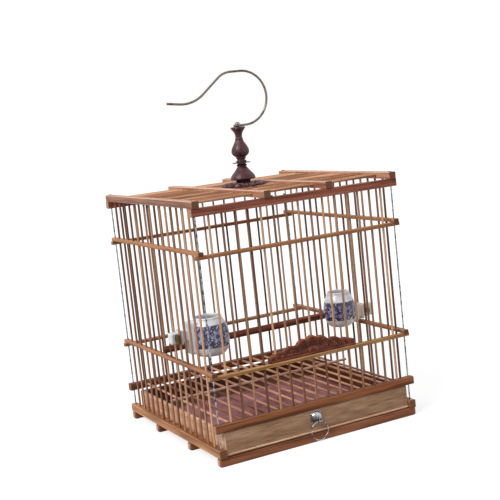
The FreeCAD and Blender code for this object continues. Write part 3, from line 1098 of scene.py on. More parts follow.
@dataclass(frozen=True)
class Timber:
    """The rails, bars, strips and sticks, which keep their solids."""

    # each finish's name, grain, rubbing, pale, body, deep and end colours, and solids
    bars: Sequence[tuple] = (
        ("foot_rail_bamboo", Axis.X, 0.5,
         (158, 102, 70), (122, 72, 46), (80, 42, 26), (190, 168, 146),
         "foot_rail_front foot_rail_mid_front foot_rail_mid_rear foot_rail_rear"),
        ("drawer_rail_bamboo", Axis.X, 0.6,
         (152, 94, 58), (110, 60, 34), (72, 36, 18), (168, 120, 84), "drawer_rail_front"),
        ("shaded_rail_bamboo", Axis.X, 0.5,
         (130, 80, 54), (98, 56, 36), (60, 30, 18), (126, 76, 50), "drawer_rail_rear"),
        ("top_rail_bamboo", Axis.X, 0.35,
         (172, 108, 86), (140, 80, 62), (98, 50, 38), (176, 134, 106),
         "top_rail_front top_rail_rear"),
        ("base_bar_bamboo", Axis.Y, 0.5,
         (208, 152, 104), (168, 114, 72), (120, 74, 42), (116, 76, 48),
         "base_bar_left base_bar_right"),
        ("side_strip_bamboo", Axis.Y, 0.5,
         (184, 128, 86), (146, 94, 60), (100, 60, 36), (96, 62, 44),
         "lower_band_left lower_band_right upper_band_left upper_band_right"),
        ("front_strip_bamboo", Axis.X, 0.5,
         (218, 174, 122), (188, 142, 92), (130, 86, 48), (170, 124, 84), "lower_band_front"),
        ("rear_strip_bamboo", Axis.X, 0.5,
         (188, 146, 110), (150, 102, 72), (104, 60, 40), (140, 96, 66), "lower_band_rear"),
        ("upper_strip_bamboo", Axis.X, 0.5,
         (200, 148, 104), (164, 112, 74), (110, 66, 40), (150, 104, 72),
         "upper_band_front upper_band_rear"),
        ("floor_strip_bamboo", Axis.X, 0.0,
         (216, 174, 156), (190, 146, 126), (146, 100, 82), (120, 84, 52), "floor_strip"),
    )
    # each finish's name, grain, pale, body and deep colours, and solids
    sticks: Sequence[tuple] = (
        ("face_stick_bamboo", Axis.Z, (202, 160, 126), (160, 118, 90), (100, 66, 50),
         "front_sticks_left front_sticks_right door_sticks"),
        ("short_stick_bamboo", Axis.Z, (184, 136, 98), (132, 88, 60), (82, 50, 34),
         "front_sticks_short"),
        ("side_stick_bamboo", Axis.Z, (204, 162, 132), (162, 118, 92), (106, 70, 54),
         "left_sticks right_sticks"),
        ("rear_stick_bamboo", Axis.Z, (190, 156, 132), (140, 108, 90), (84, 58, 48),
         "rear_sticks"),
        ("roof_stick_bamboo", Axis.X, (216, 168, 132), (176, 124, 90), (122, 78, 54),
         "roof_sticks"),
        ("floor_stick_bamboo", Axis.Y, (208, 156, 120), (166, 110, 78), (98, 56, 36),
         "floor_sticks"),
    )
    stick_joint_every: float = 118 * MM
    stick_fibre: float = 0.35 * MM
    stick_contrast: float = 1.4

    def build(self) -> None:
        """Dress every rail, bar, strip and stick."""
        for name, grain, rubbed, pale, body, deep, end, solids in self.bars:
            dress(solids, Bamboo(name, pale, body, deep, grain, end, rubbed=rubbed).material())
        for name, grain, pale, body, deep, solids in self.sticks:
            dress(solids, Bamboo(
                name, pale, body, deep, grain, joint_every=self.stick_joint_every,
                fibre=self.stick_fibre, piece_contrast=self.stick_contrast,
            ).material())
        # The roof bars' bright rounded edges are partly rubbed wear and partly a painted highlight
        # along their tops.
        dress("roof_bar_left roof_bar_mid_left roof_bar_mid_right roof_bar_right", Bamboo(
            "roof_bar_bamboo", (190, 138, 110), (152, 100, 74), (108, 66, 46), Axis.Y,
            (112, 70, 46), rubbed=1.0, wear_and_highlight=(236, 196, 176), gloss=0.2,
        ).material())


@dataclass(frozen=True)
class Ironwork:
    """The corner wires, the pin and nuts, and the hook, which keep their solids."""

    finishes: Sequence[tuple[Metal, str]] = (
        (Metal("bright_wire", (156, 164, 168), (38, 46, 50), 0.30, 4 * MM, 0.75),
         "corner_wire_front_left corner_wire_front_right "
         "corner_wire_rear_left corner_wire_rear_right"),
        (Metal("bronzed_hook_wire", (122, 110, 98), (78, 68, 60), 0.32, 9 * MM, 0.6), "hook"),
        (Metal("dull_steel", (150, 148, 142), (96, 90, 84), 0.36),
         "finial_pin finial_lower_nut hook_nut"),
        (Metal("dark_disc", (84, 78, 80), (52, 44, 46), 0.34), "finial_collar"),
        (Metal("bright_chrome", (164, 156, 152), (70, 58, 52), 0.20, 4 * MM, 0.75),
         "pull_eye pull_ring"),
    )

    def build(self) -> None:
        """Dress every metal solid."""
        for finish, solids in self.finishes:
            dress(solids, finish.material())


@dataclass
class Tray:
    """The drawer: eased boards, the lining, and the dome of its ring pull."""

    ease: float = 0.5 * MM
    lip_undercut: float = 1.9 * MM
    shade_reach: float = 0.6 * MM
    paper_thickness: float = 0.3 * MM
    paper_ripple: float = 0.16 * MM
    paper_margin: float = 1.5 * MM
    paper_cells: int = 48
    flange_height_share: float = 0.14
    flange_shares: Profile = ((1.0, 0.0), (1.0, 0.6), (0.97, 1.0), (0.91, 1.05))
    dome_shares: Profile = (
        (0.86, 0.34), (0.70, 0.66), (0.45, 0.89), (0.20, 0.98), (0.01, 1.0),
    )

    def _plane(self, node: str, slot: str, material: bpy.types.Material) -> None:
        """Plane a board to one of the drawer's solids and dress it.

        Args:
            node: The solid's name.
            slot: The record's material slot.
            material: The board's finish.
        """
        low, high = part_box(node)
        piece = board(node + "_planed", low, high, self.ease)
        Bench.finish(piece, Body.DRAWER, slot, material, [node])

    def floor(self, material: bpy.types.Material) -> None:
        """Plane the floor board, its front lip undercut to a thin edge.

        Args:
            material: The board's finish.
        """
        low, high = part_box("drawer_bottom")
        piece = block("drawer_bottom_planed", low, high)
        Bench.select(piece, Element.EDGE, lambda edge: all(
            vertex.co.y < low.y + MM and vertex.co.z < low.z + MM for vertex in edge.verts
        ))
        bpy.ops.mesh.bevel(offset=self.lip_undercut, segments=1, affect="EDGES")
        Bench.done()
        Bench.ease(piece, self.ease / 2)
        Bench.finish(piece, Body.DRAWER, "drawer_board_wood", material, ["drawer_bottom"])

    def boards(self) -> None:
        """Plane the front, floor, sides and back."""
        front = Bamboo(
            "drawer_front_board", (212, 176, 148), (174, 138, 109), (130, 94, 68), Axis.X,
            end=(214, 186, 158), fibre=0.5 * MM, streak=20 * MM, drift=22 * MM, rubbed=0.4,
            gloss=0.0, roughness=0.62, fibre_contrast=0.8, patch_contrast=0.45, piece_contrast=0.25,
        ).material()
        # The sides, back and floor board take painted shade on their faces inside the drawer.
        tan = {"pale": (226, 180, 148), "body": (196, 148, 114), "deep": (150, 104, 74)}
        side = InsideShadedBoard(
            "drawer_side_board", grain=Axis.Y, rubbed=0.5,
            inside=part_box("drawer_liner")[1].x + self.shade_reach, **tan,
        ).material()
        back = InsideShadedBoard(
            "drawer_back_board", grain=Axis.X, rubbed=0.5, across=Axis.Y,
            inside=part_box("drawer_back")[0].y + self.shade_reach, **tan,
        ).material()
        # The floor board's pale colours show on its thin front lip: partly the board's own colour,
        # partly a painted highlight along the lip.
        bottom = InsideShadedBoard(
            "drawer_floor_board", (244, 214, 190), (226, 190, 160), (186, 140, 108), Axis.X,
            across=Axis.Y, inside=-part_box("drawer_front")[1].y,
        ).material()
        self._plane("drawer_front", "drawer_front_bamboo", front)
        self.floor(bottom)
        self._plane("drawer_side_left", "drawer_board_wood", side)
        self._plane("drawer_side_right", "drawer_board_wood", side)
        self._plane("drawer_back", "drawer_board_wood", back)

    def lining(self) -> None:
        """Lay the creased paper over the drawer's floor."""
        low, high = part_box("drawer_liner")
        middle = (low + high) / 2
        middle.z = high.z - self.paper_ripple
        width = high.x - low.x - self.paper_margin
        depth = high.y - low.y - self.paper_margin
        Bench.clear()
        bpy.ops.mesh.primitive_grid_add(
            x_subdivisions=self.paper_cells, y_subdivisions=self.paper_cells,
            size=width, location=middle,
        )
        paper = Bench.added("lining_paper")
        Bench.stretch(paper, (1, depth / width, 1), middle)
        Bench.select(paper, Element.VERTEX, every)
        bpy.ops.transform.vertex_random(offset=self.paper_ripple * 2, uniform=0, normal=1, seed=4)
        bpy.ops.mesh.vertices_smooth(factor=0.5, repeat=2, xaxis=False, yaxis=False)
        bpy.ops.object.mode_set(mode="OBJECT")
        Bench.modify(paper, "SUBSURF", levels=1, render_levels=1)
        Bench.modify(paper, "SOLIDIFY", thickness=self.paper_thickness, offset=-1)
        mauve = Paper("mauve_paper", (154, 102, 106), (178, 126, 130), (118, 70, 74)).material()
        Bench.finish(paper, Body.DRAWER, "liner_paper", mauve, ["drawer_liner"])

    def pull(self) -> None:
        """Spin the dome that the ring hangs from."""
        low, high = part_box("pull_dome")
        radius = (high.x - low.x) / 2
        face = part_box("drawer_front")[0].y
        height = face - low.y
        rim = self.flange_height_share * height
        flange = [(radius * r, rim * z) for r, z in self.flange_shares]
        crown = [(radius * r, height * z) for r, z in self.dome_shares]
        centre = Vector(((low.x + high.x) / 2, face, (low.z + high.z) / 2))
        lying = Euler((math.pi / 2, 0, 0))
        dome = Turning(flowing(flange + crown, 4)).make("pull_dome_spun", centre, lying)
        # Besides its tarnish patches, the dome takes painted shade and a painted dark reflection on
        # its lower and left faces.
        chrome = Metal(
            "bright_dome", (178, 178, 182), (46, 44, 48), 0.14, 2 * MM, 0.4, painted_shade_below=0.9,
        ).material()
        Bench.finish(dome, Body.DRAWER, "pull_chrome", chrome, ["pull_dome"], angle=50)

    def build(self) -> None:
        """Build the whole drawer."""
        self.boards()
        self.lining()
        self.pull()


@dataclass
class CloudDoor:
    """The sliding door's carved plate, in stepped lobes like a low cloud."""

    lobe_shares: Sequence[Profile] = (
        ((-1.0, 0.12), (-0.97, 0.33), (-0.88, 0.38)),
        ((-0.88, 0.38), (-0.77, 0.50), (-0.66, 0.44)),
        ((-0.66, 0.50), (-0.52, 0.66), (-0.36, 0.58)),
        ((-0.36, 0.62), (-0.24, 0.88), (-0.11, 0.80)),
        ((-0.11, 0.84), (-0.06, 0.95), (0.0, 1.0)),
    )
    hole_shares: Profile = ((-0.57, 0.28), (-0.36, 0.30), (-0.16, 0.38))
    hole_r: float = 1.3 * MM
    steps: int = 8
    ease: float = 0.55 * MM
    border: float = 1.5 * MM
    sunk: float = 0.9 * MM
    wall_share: float = 0.6
    face_area: float = 100 * MM * MM
    scroll_shares: Sequence[tuple[float, float, float]] = (
        (-0.82, 0.24, 0.13), (-0.70, 0.20, 0.10), (-0.47, 0.34, 0.15), (-0.25, 0.52, 0.19),
        (-0.08, 0.66, 0.15), (-0.05, 0.26, 0.13),
    )
    scroll_wire: float = 0.85 * MM
    scroll_reaches: tuple[float, float] = (1.0, 0.48)
    scroll_gap_share: float = 0.35
    scroll_gap_lean: tuple[float, float] = (0.8, 0.6)
    low: Vector = field(default_factory=lambda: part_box("door_plate")[0])
    high: Vector = field(default_factory=lambda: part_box("door_plate")[1])

    def _point(self, across: float, y: float, up: float) -> Vector:
        """Return a point of the plate from its shares of the half width and the height."""
        middle, half = (self.high.x + self.low.x) / 2, (self.high.x - self.low.x) / 2
        return Vector((middle + half * across, y, self.low.z + (self.high.z - self.low.z) * up))

    def _arc(self, lobe: Profile) -> list[tuple[float, float]]:
        """Draw one lobe.

        Args:
            lobe: Its start, crest and end.

        Returns:
            Points along the curve through them.
        """
        start, crest, end = (Vector(point) for point in lobe)
        bend = crest * 2 - (start + end) / 2
        shares = [step / self.steps for step in range(self.steps)]
        return [tuple(start * (1 - t) ** 2 + bend * 2 * t * (1 - t) + end * t * t) for t in shares]

    def _outline(self) -> list[tuple[float, float]]:
        """Draw the whole outline.

        Returns:
            Its points, as shares of the half width and the height.
        """
        left = [point for lobe in self.lobe_shares for point in self._arc(lobe)]
        right = [(-x, z) for x, z in reversed(left)]
        return [(-1.0, 0.0)] + left + [self.lobe_shares[-1][-1]] + right + [(1.0, 0.0)]

    def _blank(self) -> Piece:
        """Saw the plate's blank out of a disc whose rim is laid on the outline.

        Returns:
            The plate, with sharp edges.
        """
        outline = self._outline()
        Bench.clear()
        bpy.ops.mesh.primitive_circle_add(
            vertices=len(outline), radius=(self.high.x - self.low.x) / 2, fill_type="NGON",
        )
        plate = Bench.added("door_plate_carved")
        for vertex, (x, z) in zip(plate.data.vertices, outline):
            vertex.co = self._point(x, self.low.y, z)
        Bench.select(plate, Element.FACE, every)
        deep = (0, self.high.y - self.low.y, 0)
        bpy.ops.mesh.extrude_region_move(TRANSFORM_OT_translate={"value": deep})
        Bench.done()
        return plate

    def _carve(self, plate: Piece) -> None:
        """Ease the edges and sink both faces inside a raised border.

        Args:
            plate: The plate.
        """
        Bench.ease(plate, self.ease, segments=2, angle=50)
        for side in (-1, 1):
            Bench.select(
                plate, Element.FACE,
                lambda face: face.normal.y * side > 0.99 and face.calc_area() > self.face_area,
            )
            bpy.ops.mesh.inset(thickness=self.border, depth=0)
            bpy.ops.mesh.inset(thickness=self.sunk * self.wall_share, depth=-self.sunk)
            bpy.ops.object.mode_set(mode="OBJECT")

    def _scroll(self, centre: Vector, radius: float, side: int) -> Piece:
        """Carve an open ring, which is a torus with a sector cut away.

        Args:
            centre: Its middle.
            radius: Its radius.
            side: The side that it opens to, -1 or 1.

        Returns:
            The scroll.
        """
        Bench.clear()
        bpy.ops.mesh.primitive_torus_add(
            major_radius=radius, minor_radius=self.scroll_wire, major_segments=20,
            minor_segments=8, location=centre, rotation=(math.pi / 2, 0, 0),
        )
        scroll = Bench.added("scroll")
        Bench.select(scroll, Element.FACE, every)
        lean, rise = self.scroll_gap_lean
        bpy.ops.mesh.bisect(
            plane_co=centre - Vector((0, 0, radius * self.scroll_gap_share)),
            plane_no=(side * lean, 0, rise), clear_inner=True, use_fill=True,
        )
        Bench.done()
        return scroll

    def _scrolls(self) -> list[Piece]:
        """Carve pairs of open rings on both faces and return them."""
        height = self.high.z - self.low.z
        return [
            self._scroll(
                self._point(-share_x * side, face, share_z), height * share_r * reach, side,
            )
            for face in (self.low.y + self.sunk, self.high.y - self.sunk)
            for share_x, share_z, share_r in self.scroll_shares
            for side in (-1, 1)
            for reach in self.scroll_reaches
        ]

    def _pierce(self, plate: Piece) -> None:
        """Bore the small round holes.

        Args:
            plate: The plate.
        """
        drills = []
        for share_x, share_z in self.hole_shares:
            for side in (-1, 1):
                Bench.clear()
                bpy.ops.mesh.primitive_cylinder_add(
                    vertices=20, radius=self.hole_r, depth=(self.high.y - self.low.y) * 1.5,
                    location=self._point(share_x * side, (self.low.y + self.high.y) / 2, share_z),
                    rotation=(math.pi / 2, 0, 0),
                )
                drills.append(Bench.added("drill"))
        Bench.cut(plate, Bench.join("drills", drills))

    def build(self) -> None:
        """Saw, carve and pierce the plate."""
        plate = self._blank()
        self._carve(plate)
        self._pierce(plate)
        plate = Bench.join("door_plate_carved", [plate] + self._scrolls())
        # The plate's finish darkens its sunk ground with painted shade.
        wood = CarvedBoard(
            "door_plate_wood", (150, 88, 60), (104, 52, 35), (62, 26, 16), Axis.X,
            end=(112, 60, 40), fibre=0.4 * MM, streak=12 * MM, rubbed=0.5,
            middle=(self.low.y + self.high.y) / 2, half=(self.high.y - self.low.y) / 2,
            sunk=self.sunk,
        ).material()
        Bench.finish(plate, Body.DOOR, "door_wood", wood, ["door_plate"])


@dataclass
class PorcelainCup:
    """A glazed cup with a neck between two sticks, and its wooden key."""

    side: str
    band_shares: tuple[float, float]
    saddle_height: float
    neck_height: float
    saddle_taper: float
    saddle_rise: float
    neck_glaze: Colour
    saddle_root_share: float = 0.78
    saddle_level_share: float = 0.46
    saddle_out: float = 5.0 * MM
    saddle_width: float = 18.0 * MM
    neck_width: float = 10.8 * MM
    neck_short: float = 0.05 * MM
    stop_length: float = 3.0 * MM
    stop_margin: float = 2.1 * MM
    stop_extra_width: float = 1.2 * MM
    ease: float = 1.6 * MM
    voxel: float = 0.55 * MM
    stick_play: float = 0.3 * MM
    key_play: float = 0.2 * MM
    key_half_height: float = 2.5 * MM
    key_ease: float = 0.5 * MM
    slot_overrun: float = 10 * MM
    slot_ease: float = 0.1 * MM
    outer_shares: Profile = (
        (0.46, 0.012), (0.50, 0.0), (0.60, 0.0), (0.68, 0.02), (0.83, 0.09), (0.94, 0.21),
        (1.0, 0.34), (1.0, 0.52), (0.97, 0.66), (0.88, 0.80), (0.76, 0.90), (0.715, 0.935),
        (0.73, 0.965), (0.73, 0.99), (0.70, 1.0),
    )
    hollow_shares: Profile = (
        (0.02, 0.06), (0.55, 0.08), (0.78, 0.18), (0.88, 0.38), (0.88, 0.54), (0.82, 0.72),
        (0.68, 0.88), (0.62, 0.95), (0.62, 1.10),
    )

    def _block(self, name: str, start: Vector, length: float, width: float, height: float,
               taper: float = 1.0, rise: float = 0.0) -> Piece:
        """Press a block of clay that points out of the cage.

        Args:
            name: Its name.
            start: Middle of its inner face.
            length: Its length outwards, with a sign.
            width: Its width from front to back.
            height: Its height.
            taper: Size of its outer face against its inner face.
            rise: Share of the taper that comes off the top alone: 0 is even, and 1 keeps
                the bottom level.

        Returns:
            The block.
        """
        Bench.clear()
        middle = start + Vector((length / 2, 0, 0))
        bpy.ops.mesh.primitive_cube_add(size=1, location=middle, scale=(abs(length), width, height))
        pressed = Bench.added(name + "_" + self.side)
        way = math.copysign(1, length)
        Bench.select(pressed, Element.FACE, lambda face: face.normal.x * way > 0.9)
        kept = start - Vector((0, 0, height / 2 * rise))
        bpy.ops.transform.resize(value=(1, taper, taper), center_override=kept)
        bpy.ops.object.mode_set(mode="OBJECT")
        Bench.ease(pressed, self.ease, segments=3)
        return pressed

    def _slot(self, low: Vector, high: Vector, level: float) -> Piece:
        """Make the tool that cuts the key's slot through the neck.

        Args:
            low: The key's lowest corner.
            high: Its highest corner.
            level: Height of its middle.

        Returns:
            The tool.
        """
        play = Vector((self.key_play, self.slot_overrun, self.key_play))
        half = Vector((0, 0, self.key_half_height))
        middle_y = (low.y + high.y) / 2
        start = Vector((low.x, middle_y, level)) - half - play
        end = Vector((high.x, middle_y, level)) + half + play
        return board("slot_" + self.side, start, end, self.slot_ease)

    def build(self) -> None:
        """Throw, join, glaze and slot the cup, and whittle its key."""
        node, key_node = "cup_" + self.side, "cup_key_" + self.side
        low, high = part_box(node)
        key_low, key_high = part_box(key_node)
        radius, height = (high.y - low.y) / 2, high.z - low.z
        way = -1 if self.side == "left" else 1
        axis_x = high.x - radius if way < 0 else low.x + radius
        outer_x = low.x if way < 0 else high.x
        foot = Vector((axis_x, (low.y + high.y) / 2, low.z))
        level = (key_low.z + key_high.z) / 2
        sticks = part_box(self.side + "_sticks")
        stick_x = sticks[1].x if way < 0 else sticks[0].x
        stop = Vector((stick_x - way * (self.stick_play + self.stop_length), foot.y, level))
        root = radius * self.saddle_root_share
        core_z = (level + low.z + height * self.saddle_level_share) / 2
        core = Vector((axis_x + way * root, foot.y, core_z))
        neck = Vector((axis_x, foot.y, level))
        margin = self.stop_margin * 2
        cup = Bench.join(node + "_glazed", [
            spun("bowl_" + self.side, self.outer_shares, radius, height, foot, 72),
            self._block("saddle", core, way * (radius + self.saddle_out - root),
                        self.saddle_width, self.saddle_height, self.saddle_taper, self.saddle_rise),
            self._block("stop", stop, way * self.stop_length,
                        self.neck_width + margin + self.stop_extra_width,
                        self.neck_height + margin),
            self._block("neck", neck, outer_x - axis_x - way * self.neck_short,
                        self.neck_width, self.neck_height),
        ])
        Bench.modify(cup, "REMESH", mode="VOXEL", voxel_size=self.voxel, adaptivity=0.0)
        Bench.cut(cup, spun("hollow_" + self.side, self.hollow_shares, radius, height, foot, 72))
        Bench.modify(cup, "REMESH", mode="VOXEL", voxel_size=self.voxel, adaptivity=0.0)
        Bench.modify(cup, "SMOOTH", factor=0.5, iterations=7)
        Bench.cut(cup, self._slot(key_low, key_high, level))
        band_low, band_high = (height * share for share in self.band_shares)
        glaze = Porcelain(
            "glaze_" + self.side, foot, radius, band_low, band_high, self.neck_glaze,
        ).material()
        Bench.finish(cup, Body.CAGE, "porcelain", glaze, [node], angle=50)
        key = Bench.copy_of(key_node, "key_%s_whittled" % self.side)
        Bench.ease(key, self.key_ease)
        wood = Bamboo(
            "key_wood_" + self.side, (124, 100, 66), (84, 64, 38), (52, 38, 22), Axis.Y,
            end=(96, 74, 46), rubbed=0.4,
        ).material()
        Bench.finish(key, Body["KEY_" + self.side.upper()], "key_wood", wood, [key_node])


@dataclass
class Perch:
    """The round perch, its ends eased."""

    ease: float = 0.5 * MM

    def build(self) -> None:
        """Ease the perch's forked ends and dress it."""
        perch = Bench.copy_of("perch", "perch_eased")
        Bench.ease(perch, self.ease, angle=50)
        wood = Bamboo(
            "perch_wood_dark", (146, 84, 60), (108, 56, 38), (68, 32, 20), Axis.X,
            end=(90, 52, 36), fibre=0.6 * MM,
        ).material()
        Bench.finish(perch, Body.CAGE, "perch_wood", wood, ["perch"])


@dataclass
class Finial:
    """The turned and carved finial: petals, bell, vase and the plate below."""

    body: Colour = (74, 38, 42)
    dark: Colour = (44, 22, 26)
    rubbed: Colour = (104, 62, 64)
    # The petals' pale rubbed colour is partly wear and partly painted highlight.
    petal_rubbed_and_highlight: Colour = (160, 120, 118)
    petals: int = 16
    petal_length_share: float = 0.52
    petal_width_share: float = 0.74
    petal_level_share: float = 0.40
    petal_height_share: float = 1.12
    crease_width_share: float = 0.12
    crease_depth_share: float = 0.16
    beads: int = 20
    bead_r: float = 1.1 * MM
    bead_ring_share: float = 0.52
    crown_petals: int = 8
    notch_r: float = 1.5 * MM
    notch_ring_share: float = 0.84
    notch_depth_share: float = 0.3
    notch_lean_deg: float = -24
    plate_ease: float = 0.6 * MM
    core_shares: Profile = (
        (0.84, 0.0), (0.86, 0.18), (0.80, 0.34), (0.52, 0.46), (0.46, 0.62), (0.44, 0.94),
        (0.40, 1.0),
    )
    bell_shares: Profile = (
        (0.50, 0.0), (0.52, 0.03), (0.52, 0.12), (0.60, 0.135), (0.90, 0.15), (0.99, 0.175),
        (1.0, 0.21), (0.985, 0.26), (0.93, 0.34), (0.83, 0.43), (0.70, 0.525), (0.53, 0.66),
        (0.41, 0.77), (0.36, 0.84), (0.42, 0.875), (0.42, 0.91), (0.34, 0.94), (0.33, 1.0),
    )
    vase_shares: Profile = (
        (0.52, 0.0), (0.58, 0.015), (0.58, 0.045), (0.47, 0.06), (0.45, 0.09), (0.56, 0.125),
        (0.56, 0.15), (0.62, 0.165), (0.86, 0.21), (0.98, 0.27), (1.0, 0.315), (0.95, 0.38),
        (0.83, 0.45), (0.66, 0.52), (0.50, 0.59), (0.44, 0.64), (0.47, 0.655), (0.42, 0.67),
        (0.38, 0.71), (0.40, 0.78), (0.50, 0.85), (0.66, 0.91), (0.79, 0.95), (0.80, 0.985),
        (0.74, 1.0),
    )

    def _finish(self, piece: Piece, node: str, rubbed: Colour) -> None:
        """Lacquer a piece of the finial and set it on the cage.

        Args:
            piece: The object.
            node: The solid that it stands for.
            rubbed: Its colour where it is rubbed, which on the petals is also painted highlight.
        """
        centre = Vector((0, 0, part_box("finial_bell")[0].z))
        name = piece.name + "_lacquer"
        material = TurnedWood(name, self.body, self.dark, rubbed, centre).material()
        Bench.finish(piece, Body.CAGE, "finial_wood", material, [node], angle=40)

    def leaf_plate(self) -> None:
        """Carve the plate of long petals under the bell."""
        low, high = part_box("finial_leaf_plate")
        radius, height = (high.x - low.x) / 2, high.z - low.z
        core = spun("petal_plate", self.core_shares, radius, height, Vector((0, 0, low.z)))
        length = radius * self.petal_length_share
        width = radius * math.pi * self.petal_width_share / self.petals
        centre = Vector((radius - length / 2, 0, low.z + height * self.petal_level_share))
        Bench.clear()
        bpy.ops.mesh.primitive_uv_sphere_add(
            segments=16, ring_count=10, radius=length / 2, location=centre,
        )
        petal = Bench.added("petal")
        stretch = (1, width * 2 / length, height * self.petal_height_share / length)
        Bench.stretch(petal, stretch, centre)
        Bench.select(petal, Element.FACE, every)
        bpy.ops.mesh.bisect(
            plane_co=(0, 0, low.z), plane_no=(0, 0, 1), clear_inner=True, use_fill=True,
        )
        crease = width * self.crease_width_share
        Bench.select(petal, Element.VERTEX, lambda vertex: (
            abs(vertex.co.y) < crease and vertex.co.z > low.z + height * 0.5
        ))
        bpy.ops.transform.translate(value=(0, 0, -height * self.crease_depth_share))
        bpy.ops.mesh.select_all(action="SELECT")
        Bench.repeat(self.petals)
        Bench.done()
        plate = Bench.join("petal_plate", [core, petal])
        self._finish(plate, "finial_leaf_plate", self.petal_rubbed_and_highlight)

    def bell(self) -> None:
        """Turn the bell and set a ring of beads round its foot."""
        low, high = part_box("finial_bell")
        radius, height = (high.x - low.x) / 2, high.z - low.z
        bell = spun("turned_bell", self.bell_shares, radius, height, Vector((0, 0, low.z)))
        Bench.clear()
        bpy.ops.mesh.primitive_uv_sphere_add(
            segments=10, ring_count=8, radius=self.bead_r,
            location=(radius * self.bead_ring_share, 0, low.z + self.bead_r * 1.3),
        )
        bead = Bench.added("bead")
        Bench.select(bead, Element.FACE, every)
        Bench.repeat(self.beads)
        Bench.done()
        self._finish(Bench.join("turned_bell", [bell, bead]), "finial_bell", self.rubbed)

    def vase(self) -> None:
        """Turn the vase and notch its lip into a crown of petals."""
        low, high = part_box("finial_vase")
        radius, height = (high.x - low.x) / 2, high.z - low.z
        vase = spun("turned_vase", self.vase_shares, radius, height, Vector((0, 0, low.z)))
        Bench.clear()
        bpy.ops.mesh.primitive_cylinder_add(
            vertices=16, radius=self.notch_r, depth=height * self.notch_depth_share,
            location=(radius * self.notch_ring_share, 0, high.z),
            rotation=(0, math.radians(self.notch_lean_deg), 0),
        )
        tool = Bench.added("notch")
        Bench.select(tool, Element.FACE, every)
        Bench.repeat(self.crown_petals)
        Bench.done()
        Bench.cut(vase, tool)
        self._finish(vase, "finial_vase", self.rubbed)

    def under_plate(self) -> None:
        """Ease the plate that is drawn up under the roof."""
        plate = Bench.copy_of("finial_under_plate", "under_plate_eased")
        Bench.ease(plate, self.plate_ease, angle=50)
        self._finish(plate, "finial_under_plate", self.rubbed)

    def build(self) -> None:
        """Build the finial from the roof up."""
        self.leaf_plate()
        self.bell()
        self.vase()
        self.under_plate()


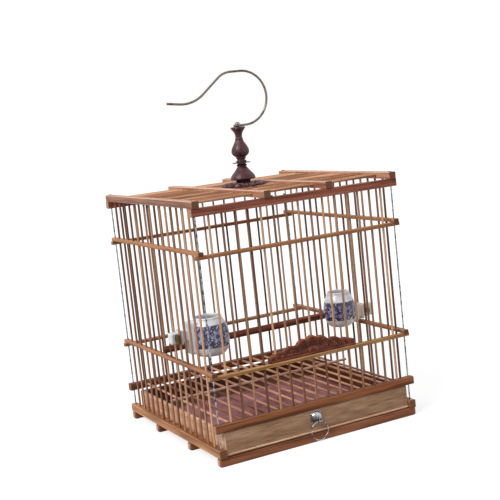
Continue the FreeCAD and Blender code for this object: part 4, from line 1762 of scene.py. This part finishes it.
@dataclass
class Studio:
    """A plain pale floor, soft light and the camera."""

    azimuth_deg: float = -26.853
    elevation_deg: float = 7.781
    roll_deg: float = 6.143
    distance: float = 1238.37 * MM
    target: Vector = field(default_factory=lambda: Vector((-1.16 * MM, 0, 200.35 * MM)))
    focal_px: float = 1066.45
    picture_px: float = 500.0
    sensor_mm: float = 36.0
    floor_half: float = 8.0
    floor_cuts: int = 3
    floor_colour: Colour = (152, 152, 152)
    floor_pale: Colour = (156, 156, 156)
    floor_lift: float = 0.72
    zenith: float = 0.85
    horizon: float = 0.32
    horizon_height: float = -0.1
    key_light: float = 2.4
    key_spread_deg: float = 30
    key_direction: Vector = field(default_factory=lambda: Vector((-0.90, -0.24, 0.85)))
    fill_light: float = 0.25
    fill_spread_deg: float = 60
    fill_direction: Vector = field(default_factory=lambda: Vector((0.7, -0.9, 0.5)))

    def _placed(self, name: str, data: bpy.types.ID) -> Piece:
        """Put a lamp or camera into the scene.

        Args:
            name: Its name.
            data: The lamp or camera.

        Returns:
            Its object.
        """
        item = bpy.data.objects.new(name, data)
        bpy.context.scene.collection.objects.link(item)
        return item

    def camera(self) -> None:
        """Set the camera at the photograph's angle."""
        azimuth = math.radians(self.azimuth_deg)
        elevation = math.radians(self.elevation_deg)
        roll = math.radians(self.roll_deg)
        back = Vector((
            math.sin(azimuth) * math.cos(elevation),
            -math.cos(azimuth) * math.cos(elevation),
            math.sin(elevation),
        ))
        right = Vector((math.cos(azimuth), math.sin(azimuth), 0))
        down = -back.cross(right)
        rolled_right = right * math.cos(roll) + down * math.sin(roll)
        rolled_up = right * math.sin(roll) - down * math.cos(roll)
        data = bpy.data.cameras.new("photo_camera")
        data.sensor_width = self.sensor_mm
        data.lens = self.focal_px / self.picture_px * self.sensor_mm
        data.clip_end = self.floor_half * 3
        camera = self._placed("photo_camera", data)
        turn = Matrix((rolled_right, rolled_up, back)).transposed().to_4x4()
        camera.matrix_world = Matrix.Translation(self.target + back * self.distance) @ turn
        bpy.context.scene.camera = camera

    def _sun(self, name: str, direction: Vector, strength: float, spread_deg: float) -> None:
        """Hang a soft far lamp.

        Args:
            name: Its name.
            direction: Where it stands, seen from the cage.
            strength: Its strength.
            spread_deg: How wide it looks from the cage.
        """
        data = bpy.data.lights.new(name, "SUN")
        data.energy = strength
        data.angle = math.radians(spread_deg)
        self._placed(name, data).rotation_euler = direction.to_track_quat("Z", "Y").to_euler()

    def _seen(self, tree: bpy.types.NodeTree) -> Socket:
        """Tell what is looked at from what only gives soft light.

        Args:
            tree: The nodes to add to.

        Returns:
            1 for what the eye, a gloss or a clear piece sees, and 0 for soft light.
        """
        path = tree.nodes.new("ShaderNodeLightPath")
        seen = path.outputs["Is Camera Ray"]
        for ray in ("Is Glossy Ray", "Is Transmission Ray"):
            either = tree.nodes.new("ShaderNodeMath")
            either.operation = "MAXIMUM"
            tree.links.new(seen, either.inputs[0])
            tree.links.new(path.outputs[ray], either.inputs[1])
            seen = either.outputs[0]
        return seen

    def light(self) -> None:
        """Light the cage from the left and from above, before a white ground."""
        world = bpy.data.worlds.new("studio")
        bpy.context.scene.world = world
        world.use_nodes = True
        tree = world.node_tree
        tree.nodes.clear()
        output, coordinate, split, rise, soft, white, mix = (
            tree.nodes.new("ShaderNode" + kind) for kind in (
                "OutputWorld", "TexCoord", "SeparateXYZ", "MapRange",
                "Background", "Background", "MixShader",
            )
        )
        limits = (self.horizon_height, 1.0, self.horizon, self.zenith)
        for socket, value in zip(rise.inputs[1:5], limits):
            socket.default_value = value
        for background in (soft, white):
            background.inputs[0].default_value = (1, 1, 1, 1)
        for outlet, inlet in (
            (coordinate.outputs["Generated"], split.inputs[0]),
            (split.outputs[2], rise.inputs[0]),
            (rise.outputs[0], soft.inputs[1]),
            (self._seen(tree), mix.inputs[0]),
            (soft.outputs[0], mix.inputs[1]),
            (white.outputs[0], mix.inputs[2]),
            (mix.outputs[0], output.inputs[0]),
        ):
            tree.links.new(outlet, inlet)
        self._sun("key", self.key_direction, self.key_light, self.key_spread_deg)
        self._sun("fill", self.fill_direction, self.fill_light, self.fill_spread_deg)

    def floor(self) -> None:
        """Lay the floor, which keeps the cage's shadow on a white ground."""
        Bench.clear()
        bpy.ops.mesh.primitive_plane_add(size=self.floor_half * 2)
        floor = Bench.added("floor")
        Bench.select(floor, Element.FACE, every)
        bpy.ops.mesh.subdivide(number_cuts=self.floor_cuts)
        bpy.ops.object.mode_set(mode="OBJECT")
        graph = Graph("pale_floor", Roughness=1.0, Specular_IOR_Level=0.0)
        stops = [(0.3, self.floor_colour), (0.7, self.floor_pale)]
        graph.colour(graph.ramp(graph.noise(3), stops))
        lift = Field(graph, self._seen(graph.tree)) * self.floor_lift
        graph.put(graph.shader.inputs["Emission Strength"], lift)
        graph.shader.inputs["Emission Color"].default_value = (1, 1, 1, 1)
        floor.data.materials.append(graph.material)

    def build(self) -> None:
        """Set up the camera, the light and the floor."""
        self.camera()
        self.light()
        self.floor()
        bpy.context.scene.view_settings.view_transform = "Standard"


def main() -> None:
    """Build the cage's looks in order."""
    logging.basicConfig(level=logging.INFO, format="%(name)s %(message)s")
    pieces = (
        Studio(), Timber(), Ironwork(), Tray(), CloudDoor(), Perch(),
        PorcelainCup("left", (0.24, 0.82), 37.8 * MM, 12.3 * MM, 0.92, 0.0, (212, 216, 214)),
        PorcelainCup("right", (0.21, 0.735), 26.8 * MM, 14.8 * MM, 0.70, 1.0, (232, 224, 200)),
        Finial(),
    )
    for piece in pieces:
        piece.build()
        LOG.info("%s built", type(piece).__name__)


if __name__ == "__main__":
    main()
